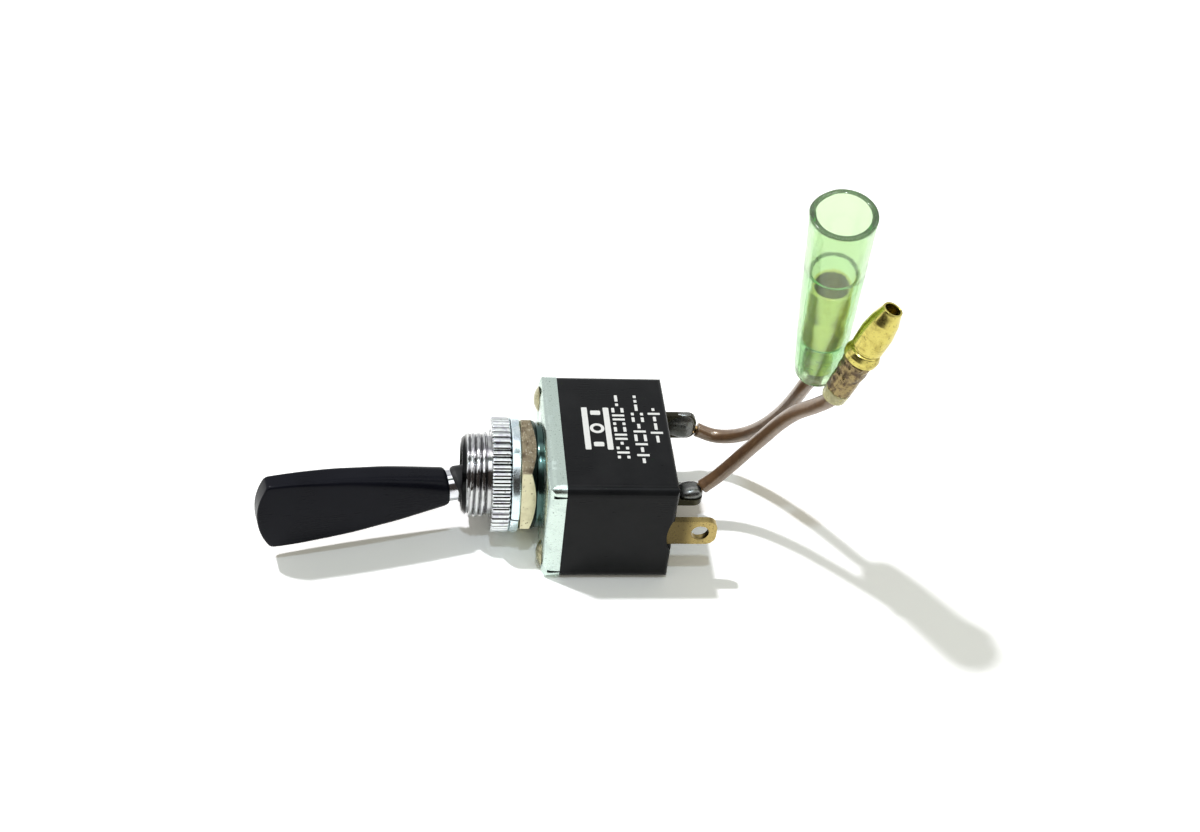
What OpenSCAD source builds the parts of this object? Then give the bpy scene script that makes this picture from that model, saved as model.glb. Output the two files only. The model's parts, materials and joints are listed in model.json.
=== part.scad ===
// Panel toggle switch: paddle lever, single-pole changeover action, two soldered leads.
// The switch lies on its side. X runs along the bushing towards the terminals, Y runs
// along the row of terminals, and Z points up from the surface that the case lies on.
// The origin is the centre of the bushing at its shoulder, where the thread begins.

/* [Case] */
// Length of the case along the row of terminals
case_length = 24; // [23:0.5:28]
// Width of the case across the row of terminals
case_width = 16.7; // [16:0.1:20]
// Depth of the body from the cover's face to the back of the case
case_depth = 17.4; // [16.5:0.1:20]
// Thickness of the moulded end and side walls
case_wall = 1.7; // [1.4:0.1:2]
// Thickness of the moulded floor that holds the terminals
floor_thick = 3.2; // [2.6:0.1:3.8]
// Rounding of the four long edges
case_round = 1.4; // [0.6:0.1:1.6]
// Rounding of the edges round the back
back_round = 0.6; // [0.3:0.1:1]
// Depth of the scoop that bares each outer terminal's root
scoop_depth = 0.9; // [0.5:0.1:1.4]
// Radius of that scoop
scoop_radius = 6.5; // [5:0.5:8]

/* [Cover] */
// Thickness of the folded steel sheet
cover_sheet = 0.8; // [0.5:0.1:1]
// How far the folded sides reach back from the face
cover_skirt = 2.5; // [2.2:0.1:4]
// Outer radius of the folds
cover_bend = 1.4; // [1.1:0.1:2]
// Outer rounding of the four corners where the folded sides meet
corner_round = 1.2; // [1:0.1:1.6]
// Width of the slit under each corner, at the fold
corner_slit = 0.5; // [0.3:0.05:0.8]
// Width of that slit at the free edge of the folded side
corner_lip = 0.2; // [0.1:0.05:0.3]

/* [Rivets] */
// Distance from the end of the case to a rivet's axis
rivet_inset_y = 2.7; // [2.5:0.1:3.2]
// Distance from the side of the case to a rivet's axis
rivet_inset_z = 2.45; // [2.3:0.05:3]
// Diameter of the rivet's shank
rivet_shank = 2.2; // [1.6:0.1:2.4]
// Diameter of the rivet's head
rivet_head = 3.8; // [3.2:0.1:4.4]
// Height of the rivet's head
rivet_head_height = 0.7; // [0.4:0.05:0.8]
// Depth of the recess that the clinched end lies in
rivet_recess = 1.2; // [0.8:0.1:1.6]

/* [Bushing] */
// Diameter over the thread
thread_diameter = 11.9; // [11.5:0.1:12.5]
// Length from the shoulder to the end of the bushing
bushing_length = 10; // [9.4:0.1:14]
// Length of the bevelled nose
nose_length = 0.95; // [0.5:0.05:1.2]
// How much the nose narrows, on the radius
nose_bevel = 0.95; // [0.4:0.05:1.05]
// Height of the shoulder above the cover
boss_height = 0.9; // [0.9:0.1:1.4]
// Diameter of the shoulder
boss_diameter = 14.7; // [14:0.1:15.5]
// Diameter of the groove that sits in the cover
neck_diameter = 12.8; // [12.4:0.1:13.2]
// How far the spun lip stands out behind the cover
lip_overhang = 0.5; // [0.3:0.05:0.7]
// Length of the spun lip behind the cover
lip_length = 0.8; // [0.6:0.1:1.2]
// Radius of the mouth that the lever swings in
mouth_radius = 4.7; // [4.6:0.05:4.9]
// Radius of the throat outside the ball
throat_radius = 3.05; // [2.9:0.05:3.2]

/* [Nuts and washer] */
// Width of the hexagon nut across its flats
hex_flats = 14.8; // [14:0.1:16]
// Thickness of the hexagon nut
hex_thick = 2.1; // [1.6:0.1:3]
// Angle of one corner above the -Y direction
hex_turn = 43; // [0:1:59]
// Outer diameter of the split lock washer
washer_diameter = 16.1; // [15:0.1:16.6]
// Thickness of the split lock washer
washer_thick = 1.2; // [0.8:0.1:1.4]
// Width of the split
washer_split = 0.25; // [0.15:0.05:0.8]
// Angle of the split above the -Y direction
washer_turn = -10; // [-60:1:60]
// Outer diameter of the fluted ring nut
ring_diameter = 15.9; // [15:0.1:16.6]
// Thickness of the ring nut
ring_thick = 2.5; // [2:0.1:3]
// Number of flutes round the ring nut
ring_flutes = 48; // [36:1:56]
// Depth of a flute
flute_depth = 0.28; // [0.15:0.01:0.4]
// Air between one loosely spun-on piece and the next
stack_gap = 0.1; // [0.05:0.05:0.2]
// Width of the groove that sets off the thread's free end from the ring nut
root_groove = 0.55; // [0.5:0.05:0.7]
// Depth of that groove
root_depth = 0.3; // [0.2:0.05:0.45]

/* [Lever] */
// Tilt of the lever to each side of the bushing's axis
lever_throw = 13; // [11:0.5:13.5]
// Distance from the shoulder in to the lever's pivot
pivot_depth = 1.8; // [1.4:0.1:2.2]
// Radius of the lever's ball
ball_radius = 3.5; // [3.3:0.05:3.6]
// Radius of the steel neck outside the ball
lever_neck_radius = 2.2; // [1.9:0.05:2.25]
// Radius of the stem inside the case
stem_radius = 2; // [1.7:0.05:2.2]
// Radius of the bore that holds the plunger
plunger_bore = 1.2; // [1:0.05:1.3]
// Radius of the pin that the lever turns on
pin_radius = 0.8; // [0.6:0.05:0.9]
// Length of the pin
pin_length = 9.4; // [8.4:0.1:9.6]
// How far the rubber seal stands out of the bushing's mouth
seal_out = 0.9; // [0.2:0.1:1.2]
// Thickness of the rubber seal
seal_thick = 1.4; // [1:0.1:1.6]
// Outer radius of the rubber seal
seal_radius = 2.6; // [2.4:0.05:2.65]

/* [Paddle] */
// Distance from the bushing's mouth out to the root of the paddle
paddle_off = 2.3; // [1.8:0.1:3.8]
// Length of the paddle
paddle_length = 25.8; // [20:0.2:32]
// Half of the paddle's width at its tip
paddle_tip_width = 5.55; // [4:0.05:7]
// Half of the paddle's width at its root
paddle_root_width = 2.35; // [2.3:0.05:3]
// Half of the paddle's thickness at its tip
paddle_tip_thick = 1.35; // [1.1:0.05:2]
// Half of the paddle's thickness at its root
paddle_root_thick = 2.5; // [2.3:0.05:3]
// How far the rounded end bulges past its corners
paddle_crown = 1.7; // [1:0.1:2.5]

/* [Changeover action] */
// Length of the fixed contacts above their terminals
contact_thick = 0.72; // [0.5:0.02:1]
// Radius of the fixed contacts
contact_radius = 1.5; // [1.3:0.05:1.6]
// Swing of the rocker to each side
rocker_swing = 9; // [8:0.5:10]
// Thickness of the rocker's strip
rocker_sheet = 0.6; // [0.5:0.05:0.7]
// Half of the rocker's width
rocker_half_width = 2.6; // [2.2:0.05:2.7]
// Radius of the rocker's trunnions
trunnion_radius = 0.7; // [0.5:0.05:0.8]
// Radius of the plunger
plunger_radius = 1.15; // [1.1:0.01:1.18]
// Length of the coil spring behind the plunger
spring_length = 5; // [4:0.1:5.4]
// Diameter of the spring's wire
spring_wire = 0.3; // [0.2:0.05:0.35]
// Turns of the spring
spring_turns = 7; // [5:1:8]

/* [Terminals] */
// Thickness of the terminals' brass strip
strip = 1; // [0.8:0.05:1.1]
// Width of the outer terminals
terminal_width = 4.2; // [3.6:0.1:4.8]
// How far the outer terminals stand out behind the case
terminal_reach = 6; // [5.4:0.1:8]
// Rounding of a terminal's corners
terminal_round = 1.4; // [0.6:0.1:1.8]
// Diameter of the wire hole
terminal_hole = 2.4; // [1.8:0.1:2.6]
// Distance from a terminal's tip to the middle of its hole
hole_inset = 2.3; // [2:0.1:2.8]
// Moulded skin left outside an outer terminal
end_skin = 0.6; // [0.4:0.05:0.8]
// Width of the middle terminal
common_width = 3.8; // [3.4:0.1:4.4]
// Air between the rocker and the ears that it hangs in
ear_gap = 0.4; // [0.3:0.05:0.8]

/* [Connectors] */
// Length of the clear sleeve
sleeve_length = 30; // [26:0.5:34]
// Outer radius of the sleeve at its mouth
sleeve_mouth = 4.05; // [3.9:0.05:4.4]
// Outer radius of the sleeve at its foot
sleeve_foot = 3; // [2.9:0.05:3.3]
// Wall of the sleeve
sleeve_wall = 0.8; // [0.6:0.05:0.9]
// Inner radius of the socket
socket_bore = 2.1; // [1.9:0.05:2.2]
// Length of the bullet terminal
bullet_length = 16; // [14:0.5:18]
// Radius of the bullet's bulb
bullet_radius = 2.08; // [1.9:0.02:2.2]
// Diameter over a lead's insulation
lead_diameter = 2.05; // [1.8:0.05:2.1]
// Diameter of a lead's bare strands
strand_diameter = 1.2; // [0.9:0.1:1.3]

/* [Clearances] */
// Running clearance of a pin or trunnion, on the radius
run_fit = 0.05; // [0.02:0.01:0.08]
// Clearance between pieces that are pressed or slipped together
slip_fit = 0.05; // [0.03:0.01:0.08]
// Clearance of the ball in its seat, on the radius
ball_fit = 0.15; // [0.1:0.01:0.25]
// Air between the rocker and what it stands on or is pushed by
action_gap = 0.05; // [0.03:0.01:0.08]

/* [Hidden] */

$fn = 64;
// Overshoot of a cut past the face that it opens
over = 0.5;

// Stations along X
cover_face = boss_height;
case_front = cover_face + cover_sheet;
case_back = cover_face + case_depth;
skirt_end = cover_face + cover_skirt;
floor_top = case_back - floor_thick;
foot_top = floor_top - strip;
contact_face = foot_top - contact_thick;
bushing_end = case_front + lip_length;
terminal_tip = case_back + terminal_reach;
hole_x = terminal_tip - hole_inset;

// Half sizes and places across X
half_length = case_length / 2;
half_width = case_width / 2;
cavity_half_length = half_length - case_wall;
cavity_half_width = half_width - case_wall;
rivet_y = half_length - rivet_inset_y;
rivet_z = half_width - rivet_inset_z;
rivet_hole = rivet_shank / 2 + slip_fit;
rivet_boss = rivet_shank / 2 + 1.3;
corner_block = rivet_inset_y + rivet_inset_z;
tail_radius = rivet_shank / 2 + 0.55;
blade_out = half_length - end_skin;
blade_in = blade_out - strip;

// Bushing
thread_radius = thread_diameter / 2;
neck_radius = neck_diameter / 2;
lip_radius = neck_radius + lip_overhang;
seat_radius = ball_radius + ball_fit;
bore_radius = seat_radius + 0.05;
cone_length = 1.9;
cone_radius = mouth_radius - 0.35;
slot_half = pin_radius + run_fit;
slot_reach = pin_length / 2 + 0.1;
nut_bore = thread_radius + slip_fit;
nut_chamfer = 0.8;
hex_face = 0;
washer_face = hex_face - hex_thick - stack_gap;
ring_face = washer_face - washer_thick - stack_gap;

// Rocker, in its own frame: its pivot is the origin and its contacts face +X
button_radius = 1.3;
button_dome = 0.35;
button_height = 0.6;
arm_top = -1.3;
arm_foot = arm_top + rocker_sheet;
button_tip = arm_foot + button_height;
arm_end = cavity_half_length - 0.6;
button_y = arm_end - button_radius - 0.1;
dome_radius = (pow(button_radius, 2) + pow(button_dome, 2)) / (2 * button_dome);
trough_depth = 1.7;
trough_half = 3;
trough_slope = 0.3;
trough_rim = trough_depth + trough_slope * trough_half;
cheek_radius = trunnion_radius + 0.4;
ear_radius = trunnion_radius + run_fit + 0.55;
common_offset = rocker_half_width + ear_gap + strip;
trunnion_end = common_offset + 0.2;
shank_radius = 0.6;

// Where the rocker turns, and where its button meets a fixed contact
contact_drop = (button_tip - dome_radius) * cos(rocker_swing) + button_y * sin(rocker_swing)
    + dome_radius;
contact_y = button_y * cos(rocker_swing) + (dome_radius - button_tip) * sin(rocker_swing);
rocker_x = contact_face - action_gap - contact_drop;

// Lever, in its own frame: its pivot is the origin and its paddle points to -X
pivot_x = -pivot_depth;
paddle_root = bushing_length - pivot_depth + paddle_off;
seal_reach = bushing_length - pivot_depth + seal_out;
push_gap = 0.3;
plunger_reach = rocker_x - pivot_x - trough_depth - push_gap - plunger_radius;
stem_end = plunger_reach - 2.15;
bore_end = 1.6;
plunger_tail = bore_end + spring_length;
spring_radius = plunger_bore - 0.2 - spring_wire / 2;
seal_inner = lever_neck_radius - 0.4;
tang_radius = lever_neck_radius - 0.7;
tang_end = paddle_root + 0.4 * paddle_length;
paddle_end = paddle_root + paddle_length;
corner_x = paddle_end - paddle_crown;
crown_radius = (pow(paddle_tip_width, 2) + pow(paddle_crown, 2)) / (2 * paddle_crown);

// Solder: how far a blob stands off its terminal
blob_radius = 1.15;
rear_blob = [case_back + 1.8, terminal_tip - 0.9];
common_tip = terminal_tip - 0.1;
common_blob = [case_back + 3.2, common_tip - 1.2];

// Leads: where each one starts from, and points chosen along it from there, in order from
// the solder to inside its connector
rear_start = [terminal_tip, (blade_in + blade_out) / 2, 0];
rear_bends = [[0.2, 0, -0.8], [2.8, -0.5, -1.5], [5.1, -1.8, -0.5], [7.1, -3.7, 1.9],
              [8.6, -6, 5.4], [9.6, -8.4, 9.5], [10.2, -10.8, 13.9], [10.6, -13, 18.3],
              [11.3, -14.6, 22.4], [10.8, -15.6, 26.3]];
rear_route = [for (p = rear_bends) rear_start + p];
common_start = [common_tip, 0, strip - common_offset];
common_bends = [[-0.1, 0.1, 0.8], [2, 0.3, 2.8], [3.8, 0, 5.6], [5.3, -0.9, 8.9],
                [6.7, -2.2, 12.5], [7.9, -3.8, 16.2], [9.3, -5.7, 19.8], [11, -8, 23],
                [12.2, -9.9, 26], [13, -10.2, 28.9]];
common_route = [for (p = common_bends) common_start + p];
rear_wire_from = rear_start + [-1.4, -strip / 2 - 0.1, -0.4];
common_wire_from = common_start + [-1.6, 0, -0.1];
// The bend of each lead that its connector's foot grips
gripped = 8;
route_steps = 3;
lead_sides = 8;

// Connectors: foot, tilt from upright, and heading of the tilt from +X
sleeve_at = rear_route[gripped];
sleeve_tilt = 15.4;
sleeve_heading = -115.3;
sleeve_waist = [7, 3.4];
sleeve_step = 18.5;
socket_foot = 1.6;
socket_crimp_end = 7.6;
socket_radius = socket_bore + 0.4;
crimp_bore = lead_diameter / 2 + 0.17;
crimp_radius = crimp_bore + 0.45;
bullet_at = common_route[gripped];
bullet_tilt = 16.5;
bullet_heading = -21.6;
collar_length = 1.6;
collar_radius = crimp_bore + 0.5;

// ---- Placing and outlines ----

// Turns what is drawn along +Z so that it runs along +X.
module along_x(x = 0) {
    translate([x, 0, 0]) rotate([0, 90, 0]) children();
}

// Extrudes an outline drawn in Y and Z from x over a length.
module across_x(x, length) {
    translate([x, 0, 0]) rotate([90, 0, 90]) linear_extrude(length) children();
}

// Extrudes an outline drawn in X and Z along Y, over a length centred on y.
module across_y(length, y = 0) {
    translate([0, y, 0]) rotate([90, 0, 0]) linear_extrude(length, center = true) children();
}

// Extrudes an outline drawn in X and Y along Z, over a length centred on z.
module across_z(length, z = 0) {
    translate([0, 0, z]) linear_extrude(length, center = true) children();
}

// A rectangle centred on the origin, with round corners.
module round_rect(width, height, r) {
    square([width - 2 * r, height], center = true);
    square([width, height - 2 * r], center = true);
    for (x = [-1, 1], y = [-1, 1])
        translate([x * (width / 2 - r), y * (height / 2 - r)]) circle(r);
}

// A strip from x = from to x = to, half wide to each side, whose end at `to` is rounded.
module rounded_end(from, to, half, r) {
    way = to > from ? 1 : -1;
    neck = to - way * r;
    translate([min(from, neck), -half]) square([abs(neck - from), 2 * half]);
    translate([min(from, to), r - half]) square([abs(to - from), 2 * (half - r)]);
    for (side = [-1, 1])
        translate([neck, side * (half - r)]) circle(r);
}

// Puts children at the two rivets, which sit on one diagonal, as outlines in Y and Z.
module at_rivets() {
    for (side = [-1, 1])
        translate([side * rivet_y, side * rivet_z]) children();
}

// Moves children into the lever's frame, thrown to its resting side.
module in_lever() {
    translate([pivot_x, 0, 0]) rotate([0, 0, lever_throw]) children();
}

// Moves children into the rocker's frame, tipped to its resting side.
module in_rocker() {
    translate([rocker_x, 0, 0]) rotate([0, 0, -rocker_swing]) children();
}

// Moves children onto an axis that leans from upright towards a heading.
module leaning(at, tilt, heading) {
    translate(at) rotate([0, tilt, heading]) children();
}

// ---- Sweeps ----

// Catmull-Rom point between knots b and c at share t.
function between(a, b, c, d, t) =
    0.5 * (2 * b + t * (c - a) + t * t * (2 * a - 5 * b + 4 * c - d)
        + t * t * t * (3 * b - a - 3 * c + d));

// Points along a smooth line through all the knots, `steps` to each span.
function smooth_line(knots, steps) =
    let (last = len(knots) - 1)
    [for (i = [0 : last - 1], j = [0 : steps - 1])
        between(knots[max(i - 1, 0)], knots[i], knots[i + 1], knots[min(i + 2, last)], j / steps),
     knots[last]];

function unit(v) = v / norm(v);

// Direction of a line of points at its point i.
function heading_at(line, i) = unit(line[min(i + 1, len(line) - 1)] - line[max(i - 1, 0)]);

// Side direction carried along the line from point to point without twisting.
function carried_side(line, i, side) =
    let (t = heading_at(line, i), flat = unit(side - (side * t) * t))
    i == len(line) - 1 ? [flat] : concat([flat], carried_side(line, i + 1, flat));

// A round tube of one diameter along a line of points, closed with flat ends.
module tube(line, r, sides, first_side) {
    side_dirs = carried_side(line, 0, first_side);
    rings = len(line);
    ring_points = [for (i = [0 : rings - 1], k = [0 : sides - 1])
        let (s = side_dirs[i], u = cross(heading_at(line, i), s), a = 360 * k / sides)
        line[i] + r * (cos(a) * s + sin(a) * u)];
    walls = [for (i = [0 : rings - 2], k = [0 : sides - 1], half = [0, 1])
        let (n = (k + 1) % sides, a = i * sides, b = a + sides)
        half == 0 ? [a + k, b + k, b + n] : [a + k, b + n, a + n]];
    ends = [[for (k = [0 : sides - 1]) k],
            [for (k = [sides - 1 : -1 : 0]) (rings - 1) * sides + k]];
    polyhedron(ring_points, concat(walls, ends), convexity = 6);
}

// A straight round bar between two points.
module bar(from, to, r) {
    way = to - from;
    translate(from)
        rotate([0, acos(way.z / norm(way)), atan2(way.y, way.x)])
        cylinder(h = norm(way), r = r);
}

// ---- Lever ----

// Half width and half thickness of the paddle at share t from root to tip.
function paddle_width(t) =
    paddle_root_width + (paddle_tip_width - paddle_root_width) * (1 - pow(1 - t, 1.9));
function paddle_thick(t) = paddle_root_thick + (paddle_tip_thick - paddle_root_thick) * t;

module paddle_slice(t, length = 0.02) {
    reach = paddle_root + (paddle_length - length) * t;
    corner = min(1.1 - 0.7 * t, paddle_thick(t) - 0.3);
    translate([-reach, 0, 0]) rotate([90, 0, -90]) linear_extrude(length)
        round_rect(2 * paddle_thick(t), 2 * paddle_width(t), corner, $fn = 32);
}

module lever_handle() {
    color("#1b1c20") in_lever() difference() {
        intersection() {
            hull() {
                for (t = [0, 0.12, 0.28, 0.5, 0.75, 1])
                    paddle_slice(t);
            }
            across_y(4 * paddle_root_thick) union() {
                translate([-corner_x, -2 * paddle_tip_width])
                    square([corner_x, 4 * paddle_tip_width]);
                translate([crown_radius - paddle_end, 0]) circle(crown_radius, $fn = 128);
            }
        }
        along_x(-tang_end - slip_fit) cylinder(h = tang_end, r = tang_radius + slip_fit);
    }
}

module lever_shaft() {
    color("#c9ccd2") in_lever() difference() {
        union() {
            sphere(ball_radius);
            along_x(-seal_reach + seal_thick)
                cylinder(h = seal_reach - seal_thick, r = lever_neck_radius);
            along_x(-paddle_root) cylinder(h = paddle_root, r = seal_inner);
            along_x(-paddle_root)
                cylinder(h = paddle_root - seal_reach, r = lever_neck_radius);
            along_x(-tang_end) cylinder(h = tang_end, r = tang_radius);
            along_x() cylinder(h = stem_end, r = stem_radius);
        }
        along_x(bore_end) cylinder(h = stem_end, r = plunger_bore);
        cylinder(h = 4 * ball_radius, r = pin_radius, center = true);
    }
}

module lever_seal() {
    color("#17181a") in_lever() along_x(-seal_reach) difference() {
        cylinder(h = seal_thick, r = seal_radius);
        translate([0, 0, -over]) cylinder(h = seal_thick + 2 * over, r = seal_inner);
    }
}

module pivot_pin() {
    color("#9b9da3") in_lever() cylinder(h = pin_length, r = pin_radius, center = true);
}

module plunger() {
    color("#d9b45a") in_lever() {
        along_x(plunger_tail) cylinder(h = plunger_reach - plunger_tail, r = plunger_radius);
        translate([plunger_reach, 0, 0]) sphere(plunger_radius);
    }
}

module plunger_spring() {
    turn_steps = 12;
    pitch_run = spring_length - spring_wire;
    line = [for (i = [0 : spring_turns * turn_steps])
        let (a = 360 * i / turn_steps)
        [bore_end + spring_wire / 2 + pitch_run * i / (spring_turns * turn_steps),
         spring_radius * cos(a), spring_radius * sin(a)]];
    color("#b7bac0") in_lever() tube(line, spring_wire / 2, 6, [1, 0, 0]);
}

// ---- Bushing and what is spun onto it ----

module bushing_bore() {
    along_x(pivot_x) cylinder(h = bushing_end - pivot_x + over, r = bore_radius);
    translate([pivot_x, 0, 0]) sphere(seat_radius);
    along_x(-bushing_length + cone_length)
        cylinder(h = bushing_length - cone_length + pivot_x, r1 = cone_radius, r2 = throat_radius - 0.3);
    along_x(-bushing_length + cone_length)
        cylinder(h = bushing_length - cone_length + pivot_x, r = throat_radius);
    along_x(-bushing_length - over)
        cylinder(h = cone_length + over, r1 = mouth_radius, r2 = cone_radius);
}

module pin_slots() {
    cylinder(h = 2 * slot_reach, r = slot_half, center = true);
    translate([0, -slot_half, -slot_reach])
        cube([bushing_end - pivot_x + over, 2 * slot_half, 2 * slot_reach]);
}

module bushing() {
    color("#c4c8cf") difference() {
        union() {
            along_x(nose_length - bushing_length)
                cylinder(h = bushing_length - nose_length + over, r = thread_radius);
            along_x(-bushing_length)
                cylinder(h = nose_length, r1 = thread_radius - nose_bevel, r2 = thread_radius);
            along_x() cylinder(h = boss_height, r = boss_diameter / 2);
            along_x() cylinder(h = bushing_end, r = neck_radius);
            along_x(case_front) cylinder(h = lip_length, r = lip_radius);
        }
        along_x(ring_face - ring_thick - root_groove) difference() {
            cylinder(h = root_groove, r = thread_radius + over);
            cylinder(h = root_groove, r = thread_radius - root_depth);
        }
        bushing_bore();
        translate([pivot_x, 0, 0]) pin_slots();
    }
}

module ring_nut() {
    color("#cfd3da") along_x(ring_face - ring_thick) difference() {
        intersection() {
            linear_extrude(ring_thick) difference() {
                circle(ring_diameter / 2, $fn = 96);
                for (i = [0 : ring_flutes - 1])
                    rotate(360 * i / ring_flutes)
                        translate([ring_diameter / 2 + 0.05, 0])
                        circle(flute_depth + 0.05, $fn = 16);
            }
            union() {
                cylinder(h = ring_thick / 2, r1 = ring_diameter / 2 - 0.3, r2 = ring_diameter / 2 + 0.9);
                translate([0, 0, ring_thick / 2])
                    cylinder(h = ring_thick / 2, r1 = ring_diameter / 2 + 0.9, r2 = ring_diameter / 2 - 0.3);
            }
        }
        translate([0, 0, -over]) cylinder(h = ring_thick + 2 * over, r = nut_bore);
    }
}

module lock_washer() {
    color("#a9bcc6") difference() {
        along_x(washer_face - washer_thick) difference() {
            cylinder(h = washer_thick, r = washer_diameter / 2);
            translate([0, 0, -over]) cylinder(h = washer_thick + 2 * over, r = nut_bore);
        }
        rotate([180 - washer_turn, 0, 0])
            translate([washer_face - washer_thick / 2, washer_diameter / 2, 0])
            rotate([0, 10, 0])
            cube([2 * washer_thick + over, washer_diameter, washer_split], center = true);
    }
}

module hex_nut() {
    corner = hex_flats / 2 / cos(30);
    color("#cdb98a") along_x(hex_face - hex_thick) difference() {
        intersection() {
            rotate([0, 0, 90 - hex_turn]) cylinder(h = hex_thick, r = corner, $fn = 6);
            union() {
                cylinder(h = hex_thick - nut_chamfer, r = corner + 1);
                translate([0, 0, hex_thick - nut_chamfer])
                    cylinder(h = nut_chamfer, r1 = corner, r2 = hex_flats / 2 - 0.1);
            }
        }
        translate([0, 0, -over]) cylinder(h = hex_thick + 2 * over, r = nut_bore);
    }
}

// ---- Cover and case ----

// A pan's solid: open towards +X, its other edges rounded by r.
module pan(from, to, half_y, half_z, r) {
    intersection() {
        across_y(2 * half_y + 2) rounded_end(to, from, half_z, r);
        across_z(2 * half_z + 2) rounded_end(to, from, half_y, r);
    }
}

// Wedge-shaped slits that part each folded end side from the long sides.
module corner_slits() {
    top = half_width - corner_round;
    middle = top - corner_slit / 2;
    for (y = [0, 1], z = [0, 1]) mirror([0, y, 0]) mirror([0, 0, z])
        translate([0, half_length, 0]) across_y(3 * cover_sheet) polygon([
            [case_front, top], [skirt_end + over, middle + corner_lip / 2],
            [skirt_end + over, middle - corner_lip / 2], [case_front, top - corner_slit]]);
}

module cover() {
    color("#b9c4c4") difference() {
        intersection() {
            pan(cover_face, skirt_end, half_length, half_width, cover_bend);
            across_x(0, skirt_end + over) round_rect(case_length, case_width, corner_round);
        }
        intersection() {
            pan(case_front, skirt_end + over, half_length - cover_sheet,
                half_width - cover_sheet, cover_bend - cover_sheet);
            across_x(0, skirt_end + 2 * over) round_rect(case_length - 2 * cover_sheet,
                case_width - 2 * cover_sheet, corner_round - cover_sheet);
        }
        corner_slits();
        along_x(0) cylinder(h = skirt_end, r = neck_radius + slip_fit);
        across_x(0, skirt_end) at_rivets() circle(rivet_hole);
    }
}

module cover_rivets() {
    tail_thick = rivet_recess - 0.3;
    color("#c8a95e") for (side = [-1, 1]) translate([0, side * rivet_y, side * rivet_z]) {
        intersection() {
            along_x(cover_face - rivet_head_height)
                cylinder(h = rivet_head_height, r = rivet_head / 2);
            translate([cover_face - rivet_head_height + rivet_head * 0.75, 0, 0])
                sphere(rivet_head * 0.75);
        }
        along_x(cover_face) cylinder(h = case_depth - rivet_recess, r = rivet_shank / 2);
        along_x(case_back - rivet_recess)
            cylinder(h = tail_thick, r1 = tail_radius, r2 = rivet_shank / 2);
    }
}

// The pocket that an outer terminal is moulded into, at the +Y end.
module blade_pocket() {
    grow = 2 * slip_fit;
    across_z(terminal_width + grow) {
        translate([foot_top - slip_fit, contact_y - contact_radius - 0.5])
            square([strip + slip_fit, blade_out + slip_fit - contact_y + contact_radius + 0.5]);
        translate([foot_top - slip_fit, blade_in - slip_fit])
            square([terminal_tip - foot_top, strip + grow]);
    }
}

module common_pocket() {
    translate([floor_top - over, -common_width / 2 - slip_fit, -common_offset - slip_fit])
        cube([floor_thick + 2 * over, common_width + 2 * slip_fit, strip + 2 * slip_fit]);
}

// The space inside the case, as an outline in Y and Z.
module cavity_outline() {
    difference() {
        round_rect(2 * cavity_half_length, 2 * cavity_half_width, 0.8);
        at_rivets() circle(rivet_boss);
        for (side = [-1, 1]) {
            translate([side * (rivet_y + corner_block), side * (rivet_z + corner_block - rivet_boss)])
                square(2 * corner_block, center = true);
            translate([side * (rivet_y + corner_block - rivet_boss), side * (rivet_z + corner_block)])
                square(2 * corner_block, center = true);
        }
    }
}

module case_solid() {
    rim_y = half_length - cover_sheet - slip_fit;
    rim_z = half_width - cover_sheet - slip_fit;
    intersection() {
        union() {
            across_x(skirt_end + slip_fit, case_depth)
                round_rect(case_length, case_width, case_round);
            intersection() {
                pan(case_front + slip_fit, case_back, rim_y, rim_z, cover_bend - cover_sheet);
                across_x(case_front, case_depth) round_rect(2 * rim_y, 2 * rim_z, case_round);
            }
        }
        across_y(case_length + 2) rounded_end(0, case_back, half_width, back_round);
        across_z(case_width + 2) rounded_end(0, case_back, half_length, back_round);
    }
}

module case() {
    color("#1c1d21") difference() {
        case_solid();
        across_x(0, floor_top) cavity_outline();
        along_x(0) cylinder(h = bushing_end + 0.15, r = lip_radius + 0.15);
        across_x(0, case_back + over) at_rivets() circle(rivet_hole);
        across_x(case_back - rivet_recess, rivet_recess + over)
            at_rivets() circle(tail_radius + 0.3);
        for (y = [0, 1]) mirror([0, y, 0]) {
            blade_pocket();
            across_y(end_skin + over, blade_out + (end_skin + over) / 2)
                translate([case_back - scoop_depth + scoop_radius, 0]) circle(scoop_radius);
        }
        common_pocket();
    }
}

// ---- Terminals and contacts ----

// An outer terminal at the +Y end: a blade outside, and a foot inside with its contact's hole.
module blade() {
    intersection() {
        across_z(terminal_width) {
            translate([foot_top, contact_y - contact_radius - 0.2])
                square([strip, blade_in - contact_y + contact_radius + 0.2]);
            translate([floor_top, blade_in]) square([terminal_tip - floor_top, strip]);
            translate([floor_top, blade_in]) intersection() {
                circle(strip);
                translate([-strip, 0]) square(strip);
            }
        }
        difference() {
            across_y(2 * case_length)
                rounded_end(0, terminal_tip, terminal_width / 2, terminal_round);
            across_y(2 * case_length) translate([hole_x, 0]) circle(terminal_hole / 2);
        }
        difference() {
            across_y(2 * case_length) translate([0, -case_width]) square(2 * case_width);
            translate([0, contact_y, 0])
                along_x() cylinder(h = floor_top, r = shank_radius + slip_fit);
        }
    }
}

module terminal_rear() {
    color("#b59a5a") blade();
}

module terminal_front() {
    color("#b59a5a") mirror([0, 1, 0]) blade();
}

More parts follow.
